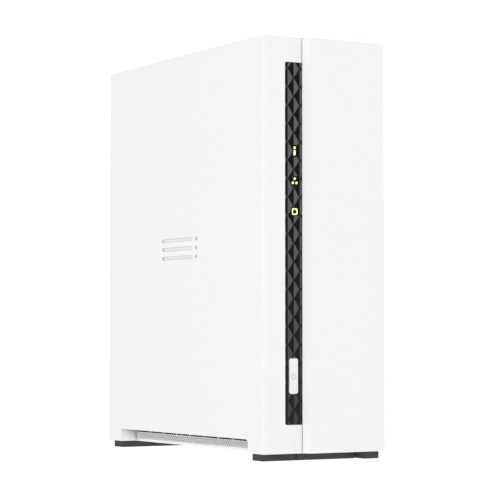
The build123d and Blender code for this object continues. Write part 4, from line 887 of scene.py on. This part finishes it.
relief = mesh_piece("trim_relief", *diamond_solids(), "chassis", "trim_black")
rounding = relief.modifiers.new("Edge rounding", "BEVEL")
rounding.width = rounding_width
rounding.segments = 2
rounding.angle_limit = radians(20)
print("relief faces:", len(relief.data.polygons))

# %% [markdown]
# ## Lenses of the signs
#
# Each sign is one clear moulding: a square block behind the strip, in front of its lamp,
# with strokes that reach forward through the strip's windows. The strokes are domed, because
# a domed stroke looks brightest along its middle and softens at its edge. Dots and the bar
# are lofted from shrinking outlines. The drive sign is a rounded square ring: a half-round
# section led round its outline. The pieces stand for the plain guides of the frame.

# %% Lens helpers
lens_proud = 0.05 * mm
lens_front = strip_low.y - lens_proud
lens_back = strip_high.y - lens_proud
guide_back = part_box("status_light_guide")[1].y
dome_rise = 0.3 * mm
dome_steps, dome_turn = 4, 80
arch_steps = 8
least_radius = 0.02 * mm


def domed(middle_x, middle_z, half_x, half_z, radius, rise=dome_rise):
    """Stack for one domed stroke, for loft_lists."""
    stack = [(middle_x, middle_z, half_x, half_z, radius, lens_back)]
    for step in range(dome_steps + 1):
        angle = radians(dome_turn * step / dome_steps)
        inset = min(half_x, half_z) * (1 - cos(angle))
        stack.append(
            (
                middle_x,
                middle_z,
                half_x - inset,
                half_z - inset,
                max(radius - inset, least_radius),
                lens_front + rise * (1 - sin(angle)),
            )
        )
    return stack


def loft_lists(stack, steps=8):
    """Plain lists of a closed mesh through a stack of rounded rectangles."""
    verts, faces = [], []
    for *rectangle, y in stack:
        ring = outline_about(*rectangle, steps)
        verts += [(x, y, z) for x, z in ring]
    count = len(ring)
    for low in range(0, (len(stack) - 1) * count, count):
        for i in range(count):
            j = (i + 1) % count
            faces.append([low + i, low + j, low + count + j, low + count + i])
    faces.append(list(range(count))[::-1])
    faces.append(list(range((len(stack) - 1) * count, len(stack) * count)))
    return verts, faces


def ring_lists(middle_x, middle_z, size, line, radius):
    """Rounded square ring with a half-round front."""
    half = size / 2
    outer = outline_about(middle_x, middle_z, half, half, radius)
    inner = outline_about(middle_x, middle_z, half - line, half - line, radius - line)
    verts, faces = [], []
    section = [(0.0, lens_back)]
    for step in range(arch_steps + 1):
        angle = radians(180 * step / arch_steps)
        section.append(((1 - cos(angle)) / 2, lens_front + dome_rise * (1 - sin(angle))))
    section.append((1.0, lens_back))
    for near, far in zip(outer, inner):
        for share, y in section:
            x, z = (a + (b - a) * share for a, b in zip(near, far))
            verts.append((x, y, z))
    count = len(section)
    for ring in range(len(outer)):
        here, there = ring * count, ((ring + 1) % len(outer)) * count
        for i in range(count):
            j = (i + 1) % count
            faces.append([here + i, here + j, there + j, there + i])
    return verts, faces


block_half, block_soft, block_corner = 2.7 * mm, 0.3 * mm, 0.6 * mm


def guide_block(at):
    """The square block behind a sign's strokes, with softened edges."""
    levels = (
        (block_half - block_soft, guide_back),
        (block_half, guide_back - block_soft),
        (block_half, lens_back + block_soft),
        (block_half - block_soft, lens_back),
    )
    return loft_lists([(at.x, at.z, size, size, block_corner, y) for size, y in levels])


print("lens front, mm:", round(lens_front / mm, 2))

# %% Lenses
dot_radius = 0.6 * mm
status_dot_z, status_bar_z = 1.55 * mm, -0.65 * mm
status_bar = (0.52 * mm, 1.15 * mm, 0.28 * mm)
network_dots = ((0.0, 1.15), (-0.95, -0.7), (0.95, -0.7))
ring_size, ring_line, ring_corner = 3.0 * mm, 0.58 * mm, 0.85 * mm
drive_mark_z = 0.45 * mm
drive_mark = (0.42 * mm, 0.09 * mm, 0.06 * mm, 0.6 * mm)
status_at, network_at, drive_at = (middle_of(name) for name in sign_margins)


def dot(x, z):
    return loft_lists(domed(x, z, dot_radius, dot_radius, dot_radius))


status_strokes = [
    dot(status_at.x, status_at.z + status_dot_z),
    loft_lists(domed(status_at.x, status_at.z + status_bar_z, *status_bar)),
]
network_strokes = [dot(network_at.x + x * mm, network_at.z + z * mm) for x, z in network_dots]
drive_strokes = [
    ring_lists(drive_at.x, drive_at.z, ring_size, ring_line, ring_corner),
    loft_lists(domed(drive_at.x, drive_at.z + drive_mark_z, *drive_mark)),
]
for sign, at, strokes, slot_name in (
    ("status", status_at, status_strokes, "green_light"),
    ("network", network_at, network_strokes, "amber_light"),
    ("drive", drive_at, drive_strokes, "green_light"),
):
    lens = mesh_piece(f"{sign}_lens", *merged(strokes + [guide_block(at)]), "chassis", slot_name)
    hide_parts(f"{sign}_light_guide")
    shade(lens)
print("lenses made")

# %% [markdown]
# ## Power button
#
# The button is a small white key with a raised rounded rim and a slightly sunk face that
# carries the usual power sign. It is lofted: a stack of rounded rectangles joined by strips
# of faces. The stack reads like the section of the real key, from its back forwards: a thin
# stem, a hidden lip, the rounded rim and the middle of the face.

# %% Power key
button_low, button_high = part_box("power_button")
button_front = button_low.y


stem_half, stem_corner = 1.15 * mm, 1.1 * mm
lip_gap, lip_thickness, lip_shoulder = 0.4 * mm, 0.7 * mm, 0.3 * mm
lip_soft, lip_corner = 0.2 * mm, 1.0 * mm
rim_round, rim_steps = 0.3 * mm, 4
key_corner, face_corner = 0.9 * mm, 0.25 * mm
face_levels = ((0.55, 0.0), (0.68, 0.05), (0.78, 0.12), (1.0, 0.13))


def button_stack():
    """Half sizes and depths from the hidden stem and lip to the sunk face."""
    x, z = button_middle.x, button_middle.z
    lip_x, lip_z = (button_high.x - button_low.x) / 2, (button_high.z - button_low.z) / 2
    lip_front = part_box("trim_strip")[1].y + lip_gap
    lip_back = lip_front + lip_thickness
    levels = [
        (stem_half, stem_half, stem_corner, button_high.y),
        (stem_half, stem_half, stem_corner, lip_back),
        (lip_x, lip_z, lip_corner, lip_back),
        (lip_x, lip_z, lip_corner, lip_front + lip_shoulder),
        (lip_x - lip_soft, lip_z - lip_soft, key_corner, lip_front),
        (button_half_x, button_half_z, key_corner, lip_front),
    ]
    steps = []
    for step in range(rim_steps + 1):
        angle = radians(90 * step / rim_steps)
        inset = rim_round * (1 - cos(angle))
        forward = button_front + rim_round * (1 - sin(angle))
        steps.append((inset, key_corner - inset, forward))
    for inset, depth in face_levels:
        steps.append((inset * mm, face_corner, button_front + depth * mm))
    for inset, corner, y in steps:
        levels.append((button_half_x - inset, button_half_z - inset, corner, y))
    return [(x, z, *level) for level in levels]


button = mesh_piece("button_key", *loft_lists(button_stack()), "power_button", "button_white")
shade(button)
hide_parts("power_button")
print("button size, mm:", [round(v / mm, 2) for v in button.dimensions])

# %% [markdown]
# The power sign is a broken ring with a bar through the gap. It is printed in pale grey and
# stands a hair proud of the face, so it is made as a thin solid: a swept square section
# round most of a circle, and a short bar.

# %% Power sign
def swept_arc(middle, radius, line, start, end, y_front, y_back, steps=40):
    """Flat arc of a ring as a closed solid facing forward; angles in degrees."""
    near, far = radius - line / 2, radius + line / 2
    verts, faces = [], []
    for step in range(steps + 1):
        angle = radians(start + (end - start) * step / steps)
        for reach, y in ((near, y_back), (near, y_front), (far, y_front), (far, y_back)):
            verts.append((middle[0] + reach * cos(angle), y, middle[1] + reach * sin(angle)))
    for here in range(0, steps * 4, 4):
        for i in range(4):
            j = (i + 1) % 4
            faces.append([here + i, here + j, here + 4 + j, here + 4 + i])
    faces += [[3, 2, 1, 0], [steps * 4 + i for i in range(4)]]
    return verts, faces


sign_front, sign_back = button_front + 0.09 * mm, button_front + 0.16 * mm
sign_x, sign_z = button_middle.x, button_middle.z - 0.25 * mm
sign_radius, sign_line = 1.15 * mm, 0.24 * mm
arc_start, arc_end = 125, 415
bar_half, bar_corner, bar_steps = 0.12 * mm, 0.11 * mm, 4
bar_low, bar_high = sign_z + 0.25 * mm, sign_z + 1.75 * mm
arc = swept_arc(
    (sign_x, sign_z), sign_radius, sign_line, arc_start, arc_end, sign_front, sign_back
)
bar = rounded_outline(
    sign_x - bar_half, sign_x + bar_half, bar_low, bar_high, bar_corner, bar_steps
)
flat_bar = slab([bar], lambda across: 0.0, sign_front, sign_back)
finishes["power_print"] = plastic(
    "Power sign print", (0.42, 0.43, 0.44), 0.45, 0.15, 0.003, patch=1.0
)
power_sign = mesh_piece(
    "power_sign", *merged([arc, flat_bar]), "power_button", "button_white", finishes["power_print"]
)
print("power sign faces:", len(power_sign.data.polygons))

# %% [markdown]
# ## Contacts and label
#
# The network jack has eight springy gold wires that slope up from its floor to its back,
# and each blue tongue has four flat gold pads. Both are thin closed solids made in a loop:
# a wire is a six-sided tube through a few points, a pad is a softened plate. The drive's lid
# carries a paper label, left blank here, which is one thin plate with round corners.

# %% Contacts
def tube_lists(path, radius, sides=6):
    """Closed six-sided tube through points that lie in one level plane."""
    verts, faces = [], []
    for x, y, z in path:
        for side in range(sides):
            angle = 2 * pi * side / sides
            verts.append((x + radius * cos(angle), y, z + radius * sin(angle)))
    for low in range(0, (len(path) - 1) * sides, sides):
        for i in range(sides):
            j = (i + 1) % sides
            faces.append([low + i, low + j, low + sides + j, low + sides + i])
    faces += [list(range(sides))[::-1], list(range((len(path) - 1) * sides, len(path) * sides))]
    return verts, faces


def plate_lists(x_ends, y_ends, z_ends, soft):
    """Thin plate facing sideways, its rim softened by a small step."""
    middle_y, middle_z = sum(y_ends) / 2, sum(z_ends) / 2
    half_y, half_z = (y_ends[1] - y_ends[0]) / 2, (z_ends[1] - z_ends[0]) / 2
    near, far = x_ends
    step = (far - near) * 0.4
    stack = [(middle_y, middle_z, half_y, half_z, soft, x) for x in (near, far - step)]
    stack.append((middle_y, middle_z, half_y - abs(step), half_z - abs(step), soft, far))
    verts, faces = loft_lists(stack, 4)
    return [(x, y, z) for y, x, z in verts], faces


finishes["contact_gold"] = metal("Contact gold", (0.78, 0.56, 0.22), 0.24, line=0.12, depth=0.003)
jack_low, jack_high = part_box("ethernet_jack")
jack_middle_z = (jack_low.z + jack_high.z) / 2
wire_floor = jack_high.x - 2.1 * mm
wire_count, wire_pitch, wire_radius = 8, 1.02 * mm, 0.2 * mm
wire_route = ((0.0, 1.6), (0.4, 2.4), (2.6, 9.0), (3.0, 14.1))
wires = []
for place in range(wire_count):
    z = jack_middle_z + (place - (wire_count - 1) / 2) * wire_pitch
    points = [(wire_floor - up * mm, jack_high.y - inward * mm, z) for up, inward in wire_route]
    wires.append(tube_lists(points, wire_radius))
gold = finishes["contact_gold"]
mesh_piece("jack_wires", *merged(wires), "chassis", "jack_shield", gold)

tongue_low, tongue_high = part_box("usb_tongues")
tongue_inset = 6.25 * mm
pad_offsets = (-3.5, -1.0, 1.0, 3.5)
pad_half, pad_corner = 0.55 * mm, 0.15 * mm
pad_y_ends = (tongue_high.y - 7.0 * mm, tongue_high.y - 0.5 * mm)
pad_face = tongue_high.x - 2.45 * mm
pad_x_ends = (pad_face - 0.05 * mm, pad_face + 0.06 * mm)
pads = []
for middle_z in (tongue_low.z + tongue_inset, tongue_high.z - tongue_inset):
    for offset in pad_offsets:
        z = middle_z + offset * mm
        pads.append(plate_lists(pad_x_ends, pad_y_ends, (z - pad_half, z + pad_half), pad_corner))
mesh_piece("tongue_pads", *merged(pads), "chassis", "usb_blue", gold)
print("contacts:", len(wires), "wires and", len(pads), "pads")

# %% Drive label
lid_low, lid_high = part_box("drive_lid")
label_middle, label_half, label_corner = (lid_low.y + lid_high.y) / 2, 30 * mm, 2.0 * mm
label_x_ends = (lid_low.x + 0.03 * mm, lid_low.x - 0.09 * mm)
label_y_ends = (label_middle - label_half, label_middle + label_half)
label_z_ends = (lid_low.z + 15 * mm, lid_low.z + 57 * mm)
label = mesh_piece(
    "drive_label",
    *plate_lists(label_x_ends, label_y_ends, label_z_ends, label_corner),
    "drive_carrier",
    "drive_lid",
    plastic("Label paper", (0.74, 0.735, 0.71), 0.62, 0.5, 0.004, drift=0.02, patch=6.0, dust=0.0),
)
print("label, mm:", [round(v / mm, 2) for v in label.dimensions])

# %% [markdown]
# ## Stage and light
#
# The unit stands on a plain white floor under wide soft light, so the floor is one large
# sheet that runs far behind the unit. A white world lights everything evenly; soft boxes to
# the sides and overhead shape the faces. The front of the world is left darker, so that the
# satin trim shows its facets: each facet mirrors another part of the room. The camera itself
# sees a plain bright backdrop.

# %% Floor
floor_glow = 0.92
floor_half = 6.0


def floor_sheet():
    made, tree, shader = blank_finish("Studio floor")
    place = place_in_mm(tree)
    clouded = blend_colour(tree, noise(tree, place, 0.004, 2.0), grey(0.20), grey(0.24))
    fill(tree, shader, {"Base Color": clouded, "Roughness": 0.9, "Specular IOR Level": 0.1})
    fill(tree, shader, {"Emission Color": grey(1.0), "Emission Strength": floor_glow})
    half = floor_half
    mesh = bpy.data.meshes.new("studio_floor")
    corners = [(-half, -half, 0), (half, -half, 0), (half, half, 0), (-half, half, 0)]
    mesh.from_pydata(corners, [], [(0, 1, 2, 3)])
    mesh.materials.append(made)
    piece = placed("studio_floor", mesh)
    return piece


floor = floor_sheet()
print("floor:", floor.name)

# %% Soft boxes and world
def soft_box(name, place, target, width, height, power):
    """Rectangular lamp that looks at a point."""
    lamp = bpy.data.lights.new(name, "AREA")
    lamp.shape = "RECTANGLE"
    lamp.size, lamp.size_y, lamp.energy = width, height, power
    piece = placed(name, lamp)
    piece.location = place
    piece.rotation_euler = (Vector(target) - Vector(place)).to_track_quat("-Z", "Y").to_euler()


centre = (0.0, 0.0, 0.09)
# Each lamp: its place, width and height in metres, then its power in watts.
lamps = {
    "key_left": ((-0.98, -0.70, 0.22), 0.45, 0.6, 4.8),
    "side_right": ((1.3, -0.9, 0.5), 0.9, 1.4, 7.5),
    "overhead": ((0.0, 0.2, 1.6), 1.6, 1.6, 6.0),
}
for name, (place, width, height, power) in lamps.items():
    soft_box(name, place, centre, width, height, power)

room_light, backdrop_light = 0.62, 1.2
dark_share = 0.35
dark_azimuth = radians(14)
dark_rim, dark_heart = 0.80, 0.97


def studio_world():
    world = bpy.data.worlds.new("Studio world")
    world.use_nodes = True
    tree = world.node_tree
    tree.nodes.clear()
    seen = node(tree, "ShaderNodeLightPath").outputs["Is Camera Ray"]
    towards = node(tree, "ShaderNodeTexCoord").outputs["Generated"]
    inputs = {0: towards, 1: (sin(dark_azimuth), -cos(dark_azimuth), 0.0)}
    ahead = node(tree, "ShaderNodeVectorMath", inputs, operation="DOT_PRODUCT").outputs["Value"]
    room = spread(tree, ahead, dark_rim, dark_heart, room_light, room_light * dark_share)
    strength = maths(tree, "MAXIMUM", room, maths(tree, "MULTIPLY", seen, backdrop_light))
    light = node(tree, "ShaderNodeBackground", {"Color": grey(1.0), "Strength": strength})
    leave = node(tree, "ShaderNodeOutputWorld")
    tree.links.new(light.outputs[0], leave.inputs["Surface"])
    bpy.context.scene.world = world


studio_world()
bpy.context.scene.view_settings.view_transform = "Standard"

# %% [markdown]
# ## Camera
#
# The camera stands about a metre away at the left front corner, low, near the height of the
# drive's foot, and looks very slightly upwards. A long lens keeps the uprights nearly
# parallel.

# %% Camera
camera_data = bpy.data.cameras.new("main_camera")
camera = placed("main_camera", camera_data)
camera.location = (-471.4 * mm, -803.38 * mm, 53.16 * mm)
camera_yaw = 30.713
camera_pitch = 2.682
camera.rotation_euler = Euler((radians(90 + camera_pitch), 0, radians(-camera_yaw)), "XYZ")
camera_data.sensor_width = 36.0
camera_data.lens = 139.5945
camera_data.clip_start = 0.01
bpy.context.scene.camera = camera
print("camera at, mm:", [round(v / mm) for v in camera.location])
